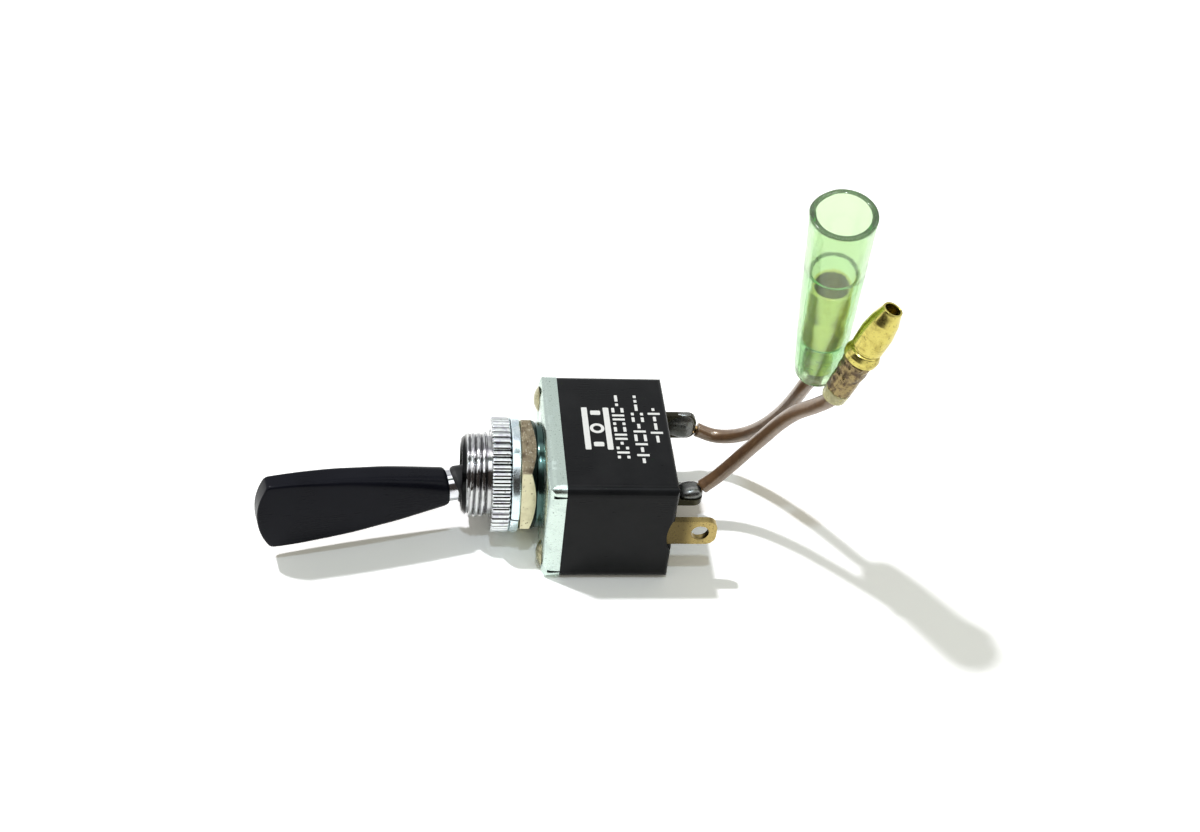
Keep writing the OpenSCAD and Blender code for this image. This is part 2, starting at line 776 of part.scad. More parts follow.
// The middle terminal: its plate is the lower ear and the solder lug, and a base on the
// floor carries the upper ear.
module terminal_common() {
    color("#b59a5a") difference() {
        union() {
            across_z(strip, -common_offset + strip / 2) {
                translate([rocker_x, 0]) circle(ear_radius);
                translate([rocker_x, -ear_radius])
                    square([floor_top - rocker_x, 2 * ear_radius]);
                rounded_end(foot_top, common_tip, common_width / 2, terminal_round);
                translate([foot_top, -common_width / 2]) square([strip, common_width]);
            }
            across_z(strip, common_offset - strip / 2) {
                translate([rocker_x, 0]) circle(ear_radius);
                translate([rocker_x, -ear_radius])
                    square([floor_top - rocker_x, 2 * ear_radius]);
            }
            translate([foot_top, -common_width / 2, -common_offset])
                cube([strip, common_width, 2 * common_offset]);
        }
        translate([rocker_x, 0, 0])
            cylinder(h = 4 * common_offset, r = trunnion_radius + run_fit, center = true);
    }
}

module fixed_contact() {
    translate([0, contact_y, 0]) {
        along_x(contact_face) cylinder(h = contact_thick, r = contact_radius);
        along_x(foot_top) cylinder(h = strip, r = shank_radius);
    }
}

module fixed_contact_rear() {
    color("#c7c9cc") fixed_contact();
}

module fixed_contact_front() {
    color("#c7c9cc") mirror([0, 1, 0]) fixed_contact();
}

// The rocker's bent strip, as an outline in X and Y.
module rocker_outline() {
    rim_in = trough_half;
    rim_out = trough_half + rocker_sheet;
    polygon([[-trough_depth, 0], [-trough_rim, rim_in], [-trough_rim, rim_out],
             [arm_top, rim_out + 0.3], [arm_top, arm_end], [arm_foot, arm_end],
             [arm_foot, rim_in + 0.1], [-trough_rim + rocker_sheet + 0.1, rim_in - 0.1],
             [-trough_depth + rocker_sheet, 0]]);
}

module rocker() {
    color("#c2a35a") in_rocker() {
        difference() {
            across_z(2 * rocker_half_width) {
                rocker_outline();
                mirror([0, 1]) rocker_outline();
            }
            for (side = [-1, 1])
                translate([0, side * button_y, 0])
                    along_x(arm_top - over) cylinder(h = 2, r = shank_radius + slip_fit);
        }
        for (side = [-1, 1]) {
            across_z(rocker_sheet, side * (rocker_half_width - rocker_sheet / 2)) {
                circle(cheek_radius);
                translate([-trough_depth, -cheek_radius]) square([trough_depth, 2 * cheek_radius]);
            }
            mirror([0, 0, side < 0 ? 1 : 0])
                translate([0, 0, rocker_half_width - rocker_sheet])
                cylinder(h = trunnion_end - rocker_half_width + rocker_sheet, r = trunnion_radius);
        }
    }
}

module rocker_buttons() {
    color("#cfd1d4") in_rocker() for (side = [-1, 1]) translate([0, side * button_y, 0])
        along_x() rotate_extrude() {
            intersection() {
                translate([0, button_tip - dome_radius]) circle(dome_radius);
                translate([0, arm_foot]) square([button_radius, 2 * button_height]);
            }
            translate([0, arm_top]) square([shank_radius, rocker_sheet + button_height / 2]);
        }
}

// ---- Solder, leads and connectors ----

module solder_rear() {
    mid_y = (blade_in + blade_out) / 2;
    color("#4a4d52") difference() {
        hull() {
            for (z = [-1, 1])
                translate([rear_blob.x + 0.6, mid_y, z * 0.7]) sphere(0.75, $fn = 24);
            for (z = [-1, 1])
                translate([rear_blob.y - 0.3, mid_y, z * (terminal_width / 2 - 1)])
                    sphere(blob_radius, $fn = 24);
        }
        blade();
        wire_rear();
        bar(rear_route[0], rear_route[1], lead_diameter / 2 + slip_fit);
    }
}

// All that lies below the face of the middle lug, which its solder and strands lie on.
module below_lug() {
    translate([case_back, -case_length / 2, common_start.z - case_width])
        cube([case_depth, case_length, case_width]);
}

module solder_common() {
    color("#4a4d52") difference() {
        hull() {
            for (x = common_blob, y = [-1, 1])
                translate([x, y * 0.6, common_start.z]) sphere(blob_radius - 0.1, $fn = 24);
            translate([common_blob.y + 0.3, 0, common_start.z + 0.35])
                sphere(blob_radius, $fn = 24);
        }
        below_lug();
        bar(common_wire_from, common_route[0], strand_diameter / 2);
        bar(common_route[0], common_route[1], lead_diameter / 2 + slip_fit);
    }
}

module wire_rear() {
    color("#b98a5a") difference() {
        bar(rear_wire_from, rear_route[0], strand_diameter / 2);
        blade();
    }
}

module wire_common() {
    color("#b98a5a") difference() {
        bar(common_wire_from, common_route[0], strand_diameter / 2);
        below_lug();
    }
}

module lead_rear() {
    color("#6e503c")
        tube(smooth_line(rear_route, route_steps), lead_diameter / 2, lead_sides, [0, 0, 1]);
}

module lead_common() {
    color("#6e503c")
        tube(smooth_line(common_route, route_steps), lead_diameter / 2, lead_sides, [0, 1, 0]);
}

module socket_sleeve() {
    foot_bore = crimp_radius + slip_fit;
    color("#9fe0a0", 0.6) leaning(sleeve_at, sleeve_tilt, sleeve_heading) rotate_extrude()
        polygon([[foot_bore, 0], [sleeve_foot - 0.3, 0], [sleeve_foot, 0.4],
                 [sleeve_waist.y, sleeve_waist.x], [sleeve_mouth, sleeve_length],
                 [sleeve_mouth - sleeve_wall, sleeve_length],
                 [sleeve_mouth - sleeve_wall - 0.25, sleeve_step],
                 [socket_radius + slip_fit, sleeve_step - 0.4],
                 [socket_radius + slip_fit, socket_crimp_end],
                 [foot_bore, socket_crimp_end - 0.6]]);
}

module socket_terminal() {
    color("#c9a24a") leaning(sleeve_at, sleeve_tilt, sleeve_heading) rotate_extrude()
        polygon([[crimp_bore, socket_foot], [crimp_radius, socket_foot],
                 [crimp_radius, socket_crimp_end - 0.6], [socket_radius, socket_crimp_end],
                 [socket_radius, sleeve_step - 0.6], [socket_bore, sleeve_step - 0.6],
                 [socket_bore, socket_crimp_end + 0.4], [crimp_bore, socket_crimp_end + 0.4]]);
}

module bullet_terminal() {
    ring_from = 0.46 * bullet_length;
    bulb_from = ring_from + 1.9;
    lips = bullet_length - 0.5;
    color("#cfa53c") leaning(bullet_at, bullet_tilt, bullet_heading) rotate_extrude()
        polygon([[crimp_bore, collar_length], [crimp_radius, collar_length],
                 [crimp_radius + 0.05, 3.4], [crimp_radius - 0.1, 4.2],
                 [crimp_radius + 0.3, 5.2], [crimp_radius + 0.3, ring_from - 0.6],
                 [crimp_radius, ring_from], [bullet_radius + 0.2, ring_from + 0.1],
                 [bullet_radius + 0.25, ring_from + 0.8], [bullet_radius, bulb_from - 0.4],
                 [bullet_radius - 0.2, bulb_from - 0.2], [bullet_radius - 0.2, bulb_from],
                 [bullet_radius, bulb_from + 0.2], [bullet_radius, bulb_from + 1.4],
                 [1.35, lips], [1.15, bullet_length], [0.95, bullet_length],
                 [0.9, lips - 3], [0.5, lips - 3.5], [0.5, 5.4], [crimp_bore, 5]]);
}

module bullet_collar() {
    color("#e8e0b8") leaning(bullet_at, bullet_tilt, bullet_heading) difference() {
        cylinder(h = collar_length, r1 = collar_radius - 0.1, r2 = collar_radius);
        translate([0, 0, -over]) cylinder(h = collar_length + 2 * over, r = crimp_bore);
    }
}

lever_handle();
lever_shaft();
lever_seal();
pivot_pin();
plunger();
plunger_spring();
bushing();
ring_nut();
lock_washer();
hex_nut();
cover();
cover_rivets();
case();
terminal_rear();
terminal_front();
terminal_common();
fixed_contact_rear();
fixed_contact_front();
rocker();
rocker_buttons();
solder_rear();
solder_common();
wire_rear();
wire_common();
lead_rear();
lead_common();
socket_sleeve();
socket_terminal();
bullet_terminal();
bullet_collar();
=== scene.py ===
"""Looks of a panel toggle switch that lies on its side with two soldered leads.

Sizes are in millimetres in the dataclass fields, and every mesh is placed in metres in
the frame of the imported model: +X along the bushing towards the terminals, +Y along the
row of terminals, +Z up from the surface that the case lies on.
"""
import json
import logging
from collections.abc import Callable, Sequence
from dataclasses import dataclass
from enum import Enum

import bmesh
import bpy
import numpy as np
from mathutils import Matrix, Vector

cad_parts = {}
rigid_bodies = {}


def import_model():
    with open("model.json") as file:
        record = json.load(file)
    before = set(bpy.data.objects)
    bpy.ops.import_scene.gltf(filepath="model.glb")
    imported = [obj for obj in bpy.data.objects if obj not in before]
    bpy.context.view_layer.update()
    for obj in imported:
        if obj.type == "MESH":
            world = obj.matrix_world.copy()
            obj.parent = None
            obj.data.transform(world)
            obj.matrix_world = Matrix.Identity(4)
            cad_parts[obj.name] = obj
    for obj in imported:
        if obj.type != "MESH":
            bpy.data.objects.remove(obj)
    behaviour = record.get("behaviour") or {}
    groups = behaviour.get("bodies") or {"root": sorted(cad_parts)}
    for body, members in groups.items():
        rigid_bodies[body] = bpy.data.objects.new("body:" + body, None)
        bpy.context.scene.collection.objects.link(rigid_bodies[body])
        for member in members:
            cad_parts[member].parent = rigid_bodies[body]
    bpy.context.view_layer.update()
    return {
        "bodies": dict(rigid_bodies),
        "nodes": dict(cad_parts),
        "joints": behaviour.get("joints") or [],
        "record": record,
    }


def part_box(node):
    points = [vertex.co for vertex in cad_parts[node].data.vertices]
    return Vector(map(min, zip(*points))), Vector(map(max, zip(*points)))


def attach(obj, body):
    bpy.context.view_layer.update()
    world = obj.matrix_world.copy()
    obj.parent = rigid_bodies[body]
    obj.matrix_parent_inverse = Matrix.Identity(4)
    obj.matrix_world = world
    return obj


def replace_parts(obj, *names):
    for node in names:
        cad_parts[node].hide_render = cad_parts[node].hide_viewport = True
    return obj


LOG = logging.getLogger("toggle_switch")
MM = 0.001
TAU = 2.0 * np.pi
Colour = tuple[float, float, float]
Array = np.ndarray
Piece = bpy.types.Object
Output = bpy.types.NodeSocket
EDGE_ANGLE = np.radians(28.0)  # only edges that turn by more than this are broken


# ---- Frames and outlines -------------------------------------------------------------

@dataclass(frozen=True)
class Place:
    """A local frame: where its origin lies (mm) and the directions of its three axes."""

    origin: tuple[float, float, float]
    axes: tuple[tuple[float, float, float], ...]

    def put(self, points: Array) -> Array:
        """Returns local points (..., 3) moved into the switch's frame."""
        return points @ np.array(self.axes) + np.array(self.origin)

    @staticmethod
    def leaning(origin: Sequence[float], tilt: float, heading: float) -> "Place":
        """A frame whose third axis leans from upright.

        Args:
            origin: Where the frame's origin lies, in mm.
            tilt: Angle from upright, in degrees.
            heading: Direction of the lean from +X, in degrees.

        Returns:
            The frame, with its first axis in the plane of the lean.
        """
        a, h = np.radians(tilt), np.radians(heading)
        x = (np.cos(a) * np.cos(h), np.cos(a) * np.sin(h), -np.sin(a))
        y = (-np.sin(h), np.cos(h), 0.0)
        z = (np.sin(a) * np.cos(h), np.sin(a) * np.sin(h), np.cos(a))
        return Place(tuple(origin), (x, y, z))

    @staticmethod
    def turned(origin: Sequence[float], angle: float) -> "Place":
        """A frame turned by an angle in degrees about +Z."""
        c, s = np.cos(np.radians(angle)), np.sin(np.radians(angle))
        return Place(tuple(origin), ((c, s, 0.0), (-s, c, 0.0), (0.0, 0.0, 1.0)))


HOME = Place((0.0, 0.0, 0.0), ((1.0, 0.0, 0.0), (0.0, 1.0, 0.0), (0.0, 0.0, 1.0)))


def softened(corners: Sequence[tuple[float, float]], rounds: Sequence[float],
             steps: int = 5) -> Array:
    """Rounds the corners of a closed outline.

    Each corner with radius r is replaced by an arc that touches both of its sides: the
    tangent points lie r / tan(half angle) from the corner.

    Args:
        corners: The outline's corners in order, as (along, out) in mm.
        rounds: The radius at each corner, in mm; 0 keeps the corner sharp.
        steps: Points on each arc.

    Returns:
        The rounded outline's points, shape (n, 2).
    """
    pts = np.array(corners, float)
    out = []
    for i, r in enumerate(rounds):
        p, a, b = pts[i], pts[i - 1], pts[(i + 1) % len(pts)]
        da, db = a - p, b - p
        la, lb = np.linalg.norm(da), np.linalg.norm(db)
        da, db = da / la, db / lb
        half = 0.5 * np.arccos(np.clip(da @ db, -1.0, 1.0))
        if r <= 0.0 or half > 1.5:
            out.append(p[None])
            continue
        reach = min(r / np.tan(half), 0.49 * la, 0.49 * lb)
        radius = reach * np.tan(half)
        centre = p + (da + db) / np.linalg.norm(da + db) * radius / np.sin(half)
        v0, v1 = p + da * reach - centre, p + db * reach - centre
        turn = np.arctan2(v0[0] * v1[1] - v0[1] * v1[0], v0 @ v1)
        t = np.linspace(0.0, turn, steps)
        out.append(centre + np.stack([v0[0] * np.cos(t) - v0[1] * np.sin(t),
                                      v0[0] * np.sin(t) + v0[1] * np.cos(t)], 1))
    return np.concatenate(out)


def refined(outline: Array, longest: float) -> Array:
    """Splits a closed outline's sides so that none is longer than `longest` mm."""
    ends = np.roll(outline, -1, 0)
    counts = np.maximum(1, np.ceil(np.linalg.norm(ends - outline, axis=1) / longest))
    return np.concatenate([a + (b - a) * np.arange(n)[:, None] / n
                           for a, b, n in zip(outline, ends, counts.astype(int))])


def round_loop(half_a: Array, half_b: Array, r: Array, per_corner: int,
               per_side: int) -> Array:
    """Rounded rectangles as closed loops, one for each entry of the size arrays.

    A corner's arc is centre + r (cos a, sin a) over a quarter turn, and the sides are
    straight between the arcs, with the same number of points in every loop.

    Args:
        half_a: Half sizes along the first axis, shape (k,).
        half_b: Half sizes along the second axis, shape (k,).
        r: Corner radii, shape (k,).
        per_corner: Points on each corner's arc.
        per_side: Points inside each straight side.

    Returns:
        Points, shape (k, n, 2), counter-clockwise.
    """
    a = np.linspace(0.0, np.pi / 2, per_corner)
    arcs = []
    for quarter, (sa, sb) in enumerate(((1, 1), (-1, 1), (-1, -1), (1, -1))):
        centre = np.stack([sa * (half_a - r), sb * (half_b - r)], -1)[:, None, :]
        t = a + quarter * np.pi / 2
        arcs.append(centre + r[:, None, None] * np.stack([np.cos(t), np.sin(t)], -1))
    share = np.arange(1, per_side + 1)[None, :, None] / (per_side + 1)
    parts = []
    for i, arc in enumerate(arcs):
        after = arcs[(i + 1) % 4][:, :1]
        parts += [arc, arc[:, -1:] + (after - arc[:, -1:]) * share]
    return np.concatenate(parts, 1)


# ---- Meshes --------------------------------------------------------------------------

def soft_noise(points: Array, size: float, seed: int) -> Array:
    """A smooth repeatable bumpiness: the sum of six sine waves in seeded directions.

    Args:
        points: Where it is read, shape (..., 3), in mm.
        size: Length of one wave in mm.
        seed: Which set of directions and phases.

    Returns:
        Values between about -1 and 1, shape (...).
    """
    rng = np.random.default_rng(seed)
    ways = rng.normal(size=(6, 3))
    ways /= np.linalg.norm(ways, axis=1, keepdims=True)
    phases = rng.uniform(0.0, TAU, 6)
    scales = rng.uniform(0.7, 1.5, 6)
    return np.sin(points @ (ways * scales[:, None]).T * TAU / size + phases).sum(-1) / 3.2


def mesh_object(name: str, local: Array, faces: Array | list, place: Place = HOME,
                crease: float = 40.0) -> Piece:
    """Makes an object from points and faces, with its faces turned outwards.

    The sum of a . (b x c) over the faces' triangles is six times the signed volume, and
    all faces are turned round where it is negative.

    Args:
        name: The piece's name.
        local: Points in the piece's own frame, shape (n, 3), in mm.
        faces: Corner indices, one row or list for each face.
        place: The piece's frame.
        crease: Edges that turn by more than this many degrees stay sharp.

    Returns:
        The object, at the origin, with its place in its mesh and its own frame's
        coordinates, in mm, kept as the attribute `local`.
    """
    points = place.put(local) * MM
    rows = [list(map(int, f)) for f in faces]
    fans = np.array([(f[0], f[k], f[k + 1]) for f in rows for k in range(1, len(f) - 1)])
    a, b, c = points[fans[:, 0]], points[fans[:, 1]], points[fans[:, 2]]
    if np.einsum("ij,ij->", a, np.cross(b, c)) < 0.0:
        rows = [f[::-1] for f in rows]
    mesh = bpy.data.meshes.new(name)
    mesh.from_pydata(points.tolist(), [], rows)
    mesh.validate()
    own = mesh.attributes.new("local", "FLOAT_VECTOR", "POINT")
    own.data.foreach_set("vector", local.astype(np.float32).ravel())
    mesh.polygons.foreach_set("use_smooth", np.ones(len(mesh.polygons), bool))
    mesh.set_sharp_from_angle(angle=np.radians(crease))
    obj = bpy.data.objects.new(name, mesh)
    bpy.context.scene.collection.objects.link(obj)
    return obj


def grid_faces(rows: int, columns: int, wrap_rows: bool, wrap_columns: bool) -> Array:
    """Quads between neighbouring points of a grid of rows by columns."""
    i = np.arange(rows if wrap_rows else rows - 1)[:, None]
    j = np.arange(columns if wrap_columns else columns - 1)[None, :]
    i2, j2 = (i + 1) % rows, (j + 1) % columns
    quads = [i * columns + j, i * columns + j2, i2 * columns + j2, i2 * columns + j]
    return np.stack(np.broadcast_arrays(*quads), -1).reshape(-1, 4)


def ringed(name: str, rings: Array, place: Place = HOME, closed: bool = False,
           crease: float = 40.0) -> Piece:
    """Skins a stack of closed loops.

    Args:
        name: The piece's name.
        rings: Points, shape (rings, around, 3), in mm.
        place: The piece's frame.
        closed: True joins the last loop to the first, as round a ring's section. False
            closes each end with a fan to the middle of its loop.
        crease: Edges that turn by more than this many degrees stay sharp.

    Returns:
        The object.
    """
    rows, around = rings.shape[:2]
    faces = grid_faces(rows, around, closed, True).tolist()
    points = rings.reshape(-1, 3)
    if not closed:
        poles = [rings[0].mean(0), rings[-1].mean(0)]
        first, last, n = 0, (rows - 1) * around, len(points)
        points = np.concatenate([points, poles])
        k = np.arange(around)
        after = (k + 1) % around
        faces += np.stack([np.full(around, n), first + after, first + k], 1).tolist()
        faces += np.stack([np.full(around, n + 1), last + k, last + after], 1).tolist()
    return mesh_object(name, points, faces, place, crease)


def spun(along: Array, radius: Array, angle: Array, axis: int = 0) -> Array:
    """Points about an axis.

    A point becomes (along, radius cos a, radius sin a), in the order that puts `along`
    on the chosen axis.

    Args:
        along: Stations on the axis, in mm.
        radius: Distances from the axis, in mm.
        angle: Angles about the axis, in radians.
        axis: 0 for the first axis, 2 for the third.

    Returns:
        The points, with their coordinates last.
    """
    parts = [along, radius * np.cos(angle), radius * np.sin(angle)]
    return np.stack(parts if axis == 0 else parts[1:] + parts[:1], -1)


def ridge(angle: Array, centre: float, reach: float) -> Array:
    """A ridge along one angle: 1 at its centre, and 0 from `reach` radians away."""
    return np.clip(1 - np.abs((angle - centre + np.pi) % TAU - np.pi) / reach, 0, 1)


def turned(name: str, outline: Array, place: Place, around: int,
           out: Callable[[Array, Array, Array], Array] | None = None, axis: int = 0,
           crease: float = 40.0) -> Piece:
    """Turns a closed outline about an axis; `out` adds to the radius.

    Args:
        name: The piece's name.
        outline: Closed outline as (along, radius), shape (n, 2), in mm.
        place: The piece's frame.
        around: Points round the axis.
        out: Gives what is added to the radius from (along, radius, angle).
        axis: 0 to turn about the first axis, 2 about the third.
        crease: Edges that turn by more than this many degrees stay sharp.

    Returns:
        The object, closed like a ring.
    """
    angle = np.arange(around)[None, :] * TAU / around
    along = np.broadcast_to(outline[:, :1], (len(outline), around))
    radius = np.broadcast_to(outline[:, 1:], (len(outline), around)).copy()
    if out is not None:
        radius = radius + out(along, radius, np.broadcast_to(angle, radius.shape))
    return ringed(name, spun(along, radius, angle, axis), place, closed=True,
                  crease=crease)


def smooth_line(knots: Array, steps: int) -> Array:
    """Catmull-Rom points through all the knots, `steps` to each span.

    Between knots b and c with neighbours a and d, a point at share t is half of
    2b + t(c - a) + t^2(2a - 5b + 4c - d) + t^3(3b - a - 3c + d).
    """
    ext = np.concatenate([knots[:1], knots, knots[-1:]])
    a, b, c, d = (ext[i:len(ext) - 3 + i, None, :] for i in range(4))
    t = (np.arange(steps) / steps)[None, :, None]
    p = 0.5 * (2 * b + t * (c - a) + t**2 * (2 * a - 5 * b + 4 * c - d)
               + t**3 * (3 * b - a - 3 * c + d))
    return np.concatenate([p.reshape(-1, 3), knots[-1:]])


def tube_rings(line: Array, radius: Array, around: int,
               first_side: Sequence[float]) -> tuple[Array, Array]:
    """Circles carried along a line without twisting.

    The side direction is carried from point to point by taking away its part along the
    line's direction, and a circle's point is line + radius (cos a side + sin a up).

    Args:
        line: Points of the middle line, shape (n, 3), in mm.
        radius: Radius at each point, shape (n,).
        around: Points on each circle.
        first_side: A direction that isn't along the line's start.

    Returns:
        The circles' points, shape (n, around, 3), and the length along the line, (n,).
    """
    ahead = np.gradient(line, axis=0)
    ahead /= np.linalg.norm(ahead, axis=1, keepdims=True)
    side, sides = np.array(first_side, float), []
    for t in ahead:
        side = side - (side @ t) * t
        side /= np.linalg.norm(side)
        sides.append(side)
    sides = np.array(sides)
    ups = np.cross(ahead, sides)
    a = (np.arange(around) * TAU / around)[None, :, None]
    rings = line[:, None] + radius[:, None, None] * (
        np.cos(a) * sides[:, None] + np.sin(a) * ups[:, None])
    steps = np.linalg.norm(np.diff(line, axis=0), axis=1)
    return rings, np.concatenate([[0.0], np.cumsum(steps)])


def add_surface_map(obj: Piece, along: Array, around: int) -> None:
    """Gives a tube a UV map of (share of the turn, length in mm).

    Args:
        obj: The tube, skinned from loops.
        along: Length along the tube at each loop, in mm.
        around: Points in each loop.
    """
    mesh = obj.data
    corner = np.zeros(len(mesh.loops), np.int32)
    mesh.loops.foreach_get("vertex_index", corner)
    u, v = (corner % around) / around, along[np.minimum(corner // around, len(along) - 1)]
    faces = np.zeros(len(mesh.polygons), np.int32)
    mesh.polygons.foreach_get("loop_total", faces)
    owner = np.repeat(np.arange(len(faces)), faces)
    top = np.zeros(len(faces))
    np.maximum.at(top, owner, u)
    u = np.where((top[owner] > 0.75) & (u < 0.25), u + 1.0, u)
    layer = mesh.uv_layers.new(name="surface")
    layer.data.foreach_set("uv", np.stack([u, v], 1).astype(np.float32).ravel())


def softened_copy(frame: dict, node: str, width: float,
                  segments: int) -> Piece:
    """A copy of a CAD node whose edges are broken by a small bevel.

    Args:
        node: The CAD node's name.
        width: Width of the bevel in mm.
        segments: Steps of the bevel.

    Returns:
        The new piece, which stands for the node.
    """
    source = frame["nodes"][node]
    work = bmesh.new()
    work.from_mesh(source.data)
    bmesh.ops.remove_doubles(work, verts=work.verts, dist=2e-7)
    bmesh.ops.dissolve_limit(work, angle_limit=np.radians(0.5), verts=work.verts,
                             edges=work.edges, use_dissolve_boundaries=False)
    bmesh.ops.recalc_face_normals(work, faces=work.faces)
    mesh = bpy.data.meshes.new(node + "_finish")
    work.to_mesh(mesh)
    work.free()
    mesh.polygons.foreach_set("use_smooth", np.ones(len(mesh.polygons), bool))
    mesh.set_sharp_from_angle(angle=EDGE_ANGLE)
    obj = bpy.data.objects.new(node + "_finish", mesh)
    bpy.context.scene.collection.objects.link(obj)
    bevel = obj.modifiers.new("broken edges", "BEVEL")
    bevel.width, bevel.segments = width * MM, segments
    bevel.limit_method, bevel.angle_limit = "ANGLE", EDGE_ANGLE
    bevel.harden_normals = True
    bevel.use_clamp_overlap = True
    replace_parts(obj, node)
    return obj


def joined(name: str, parts: Sequence[Piece]) -> Piece:
    """Joins several new pieces into the first one and names it."""
    with bpy.context.temp_override(active_object=parts[0], selected_objects=list(parts),
                                   selected_editable_objects=list(parts)):
        bpy.ops.object.join()
    parts[0].name = name
    return parts[0]


# ---- Finishes ------------------------------------------------------------------------

class Space(Enum):
    """Which coordinates a finish reads."""

    OBJECT = "object"
    LOCAL = "local"
    SURFACE = "surface"


class Nodes:
    """A node tree, written as calls that hand on their outputs."""

    where: Output

    def __init__(self, owner: bpy.types.Material | bpy.types.World) -> None:
        """Empties the tree of a material or a world."""
        owner.use_nodes = True
        self.tree = owner.node_tree
        self.tree.nodes.clear()

    def add(self, kind: str) -> bpy.types.Node:
        """Returns a new node of a kind."""
        return self.tree.nodes.new(kind)

    def feed(self, socket: Output, value: object) -> None:
        """Links an output to a socket, or sets a plain value on it."""
        if isinstance(value, Output):
            self.tree.links.new(value, socket)
        elif isinstance(value, tuple) and len(value) == 3 and socket.type == "RGBA":
            socket.default_value = (*value, 1.0)
        else:
            socket.default_value = value

    def fed(self, kind: str, *values: object) -> Output:
        """A new node whose first inputs are fed in order; returns its first output."""
        node = self.add(kind)
        for socket, value in zip(node.inputs, values):
            self.feed(socket, value)
        return node.outputs[0]

    def part(self, index: int) -> Output:
        """One of the three coordinates."""
        node = self.add("ShaderNodeSeparateXYZ")
        self.feed(node.inputs[0], self.where)
        return node.outputs[index]

    def maths(self, operation: str, a: object, b: object = 0.0) -> Output:
        """Maths on one or two values."""
        out = self.fed("ShaderNodeMath", a, b)
        out.node.operation = operation
        return out

    def total(self, a: object, times_a: float, b: object,
              times_b: float) -> Output:
        """The sum of two values, each times its own number."""
        return self.maths("ADD", self.maths("MULTIPLY", a, times_a),
                          self.maths("MULTIPLY", b, times_b))


class Recipe(Nodes):
    """A material's nodes."""

    def __init__(self, name: str, space: Space = Space.OBJECT) -> None:
        """Starts a material with an empty tree and its coordinates in mm."""
        self.material = bpy.data.materials.new(name)
        super().__init__(self.material)
        if space is Space.OBJECT:
            source = self.add("ShaderNodeTexCoord").outputs["Object"]
            self.where = self.vector("SCALE", source, scale=1000.0)
        elif space is Space.LOCAL:
            node = self.add("ShaderNodeAttribute")
            node.attribute_name = "local"
            self.where = node.outputs["Vector"]
        else:
            node = self.add("ShaderNodeUVMap")
            node.uv_map = "surface"
            self.where = node.outputs["UV"]

    def vector(self, operation: str, a: object, b: object = None,
               scale: float | None = None) -> Output:
        """Vector maths on one or two inputs."""
        node = self.add("ShaderNodeVectorMath")
        node.operation = operation
        self.feed(node.inputs[0], a)
        if b is not None:
            self.feed(node.inputs[1], b)
        if scale is not None:
            node.inputs["Scale"].default_value = scale
        return node.outputs["Value" if operation == "LENGTH" else "Vector"]

    def stretch(self, x: float, y: float, z: float) -> Output:
        """The coordinates, stretched along each axis."""
        return self.vector("MULTIPLY", self.where, (x, y, z))

    def noise(self, size: float, detail: float, rough: float, bend: float = 0.0,
              at: object = None) -> Output:
        """Noise whose blobs are about `size` mm."""
        node = self.add("ShaderNodeTexNoise")
        self.feed(node.inputs["Vector"], self.where if at is None else at)
        node.inputs["Scale"].default_value = 1.0 / size
        node.inputs["Detail"].default_value = detail
        node.inputs["Roughness"].default_value = rough
        node.inputs["Distortion"].default_value = bend
        return node.outputs[0]

    def span(self, value: object, low: float, high: float, to_low: float = 0.0,
             to_high: float = 1.0) -> Output:
        """Maps low..high onto another range with soft ends."""
        node = self.add("ShaderNodeMapRange")
        node.interpolation_type = "SMOOTHSTEP"
        for key, v in zip(("Value", "From Min", "From Max", "To Min", "To Max"),
                          (value, low, high, to_low, to_high)):
            self.feed(node.inputs[key], v)
        return node.outputs[0]

    def blend(self, share: object, a: object, b: object) -> Output:
        """Mixes two colours."""
        node = self.add("ShaderNodeMix")
        node.data_type = "RGBA"
        self.feed(node.inputs[0], share)
        self.feed(node.inputs[6], a)
        self.feed(node.inputs[7], b)
        return node.outputs[2]

    def relief(self, height: object, depth: float, strength: float,
               under: object = None) -> Output:
        """A bump whose full height is `depth` mm."""
        node = self.add("ShaderNodeBump")
        node.inputs["Distance"].default_value = depth * MM
        node.inputs["Strength"].default_value = strength
        self.feed(node.inputs["Height"], height)
        if under is not None:
            self.feed(node.inputs["Normal"], under)
        return node.outputs[0]

    def finish(self, **sockets: object) -> bpy.types.Material:
        """Ends the tree in one Principled shader and returns the material."""
        shader = self.add("ShaderNodeBsdfPrincipled")
        out = self.add("ShaderNodeOutputMaterial")
        for key, value in sockets.items():
            self.feed(shader.inputs[key.replace("_", " ")], value)
        self.tree.links.new(shader.outputs[0], out.inputs["Surface"])
        return self.material


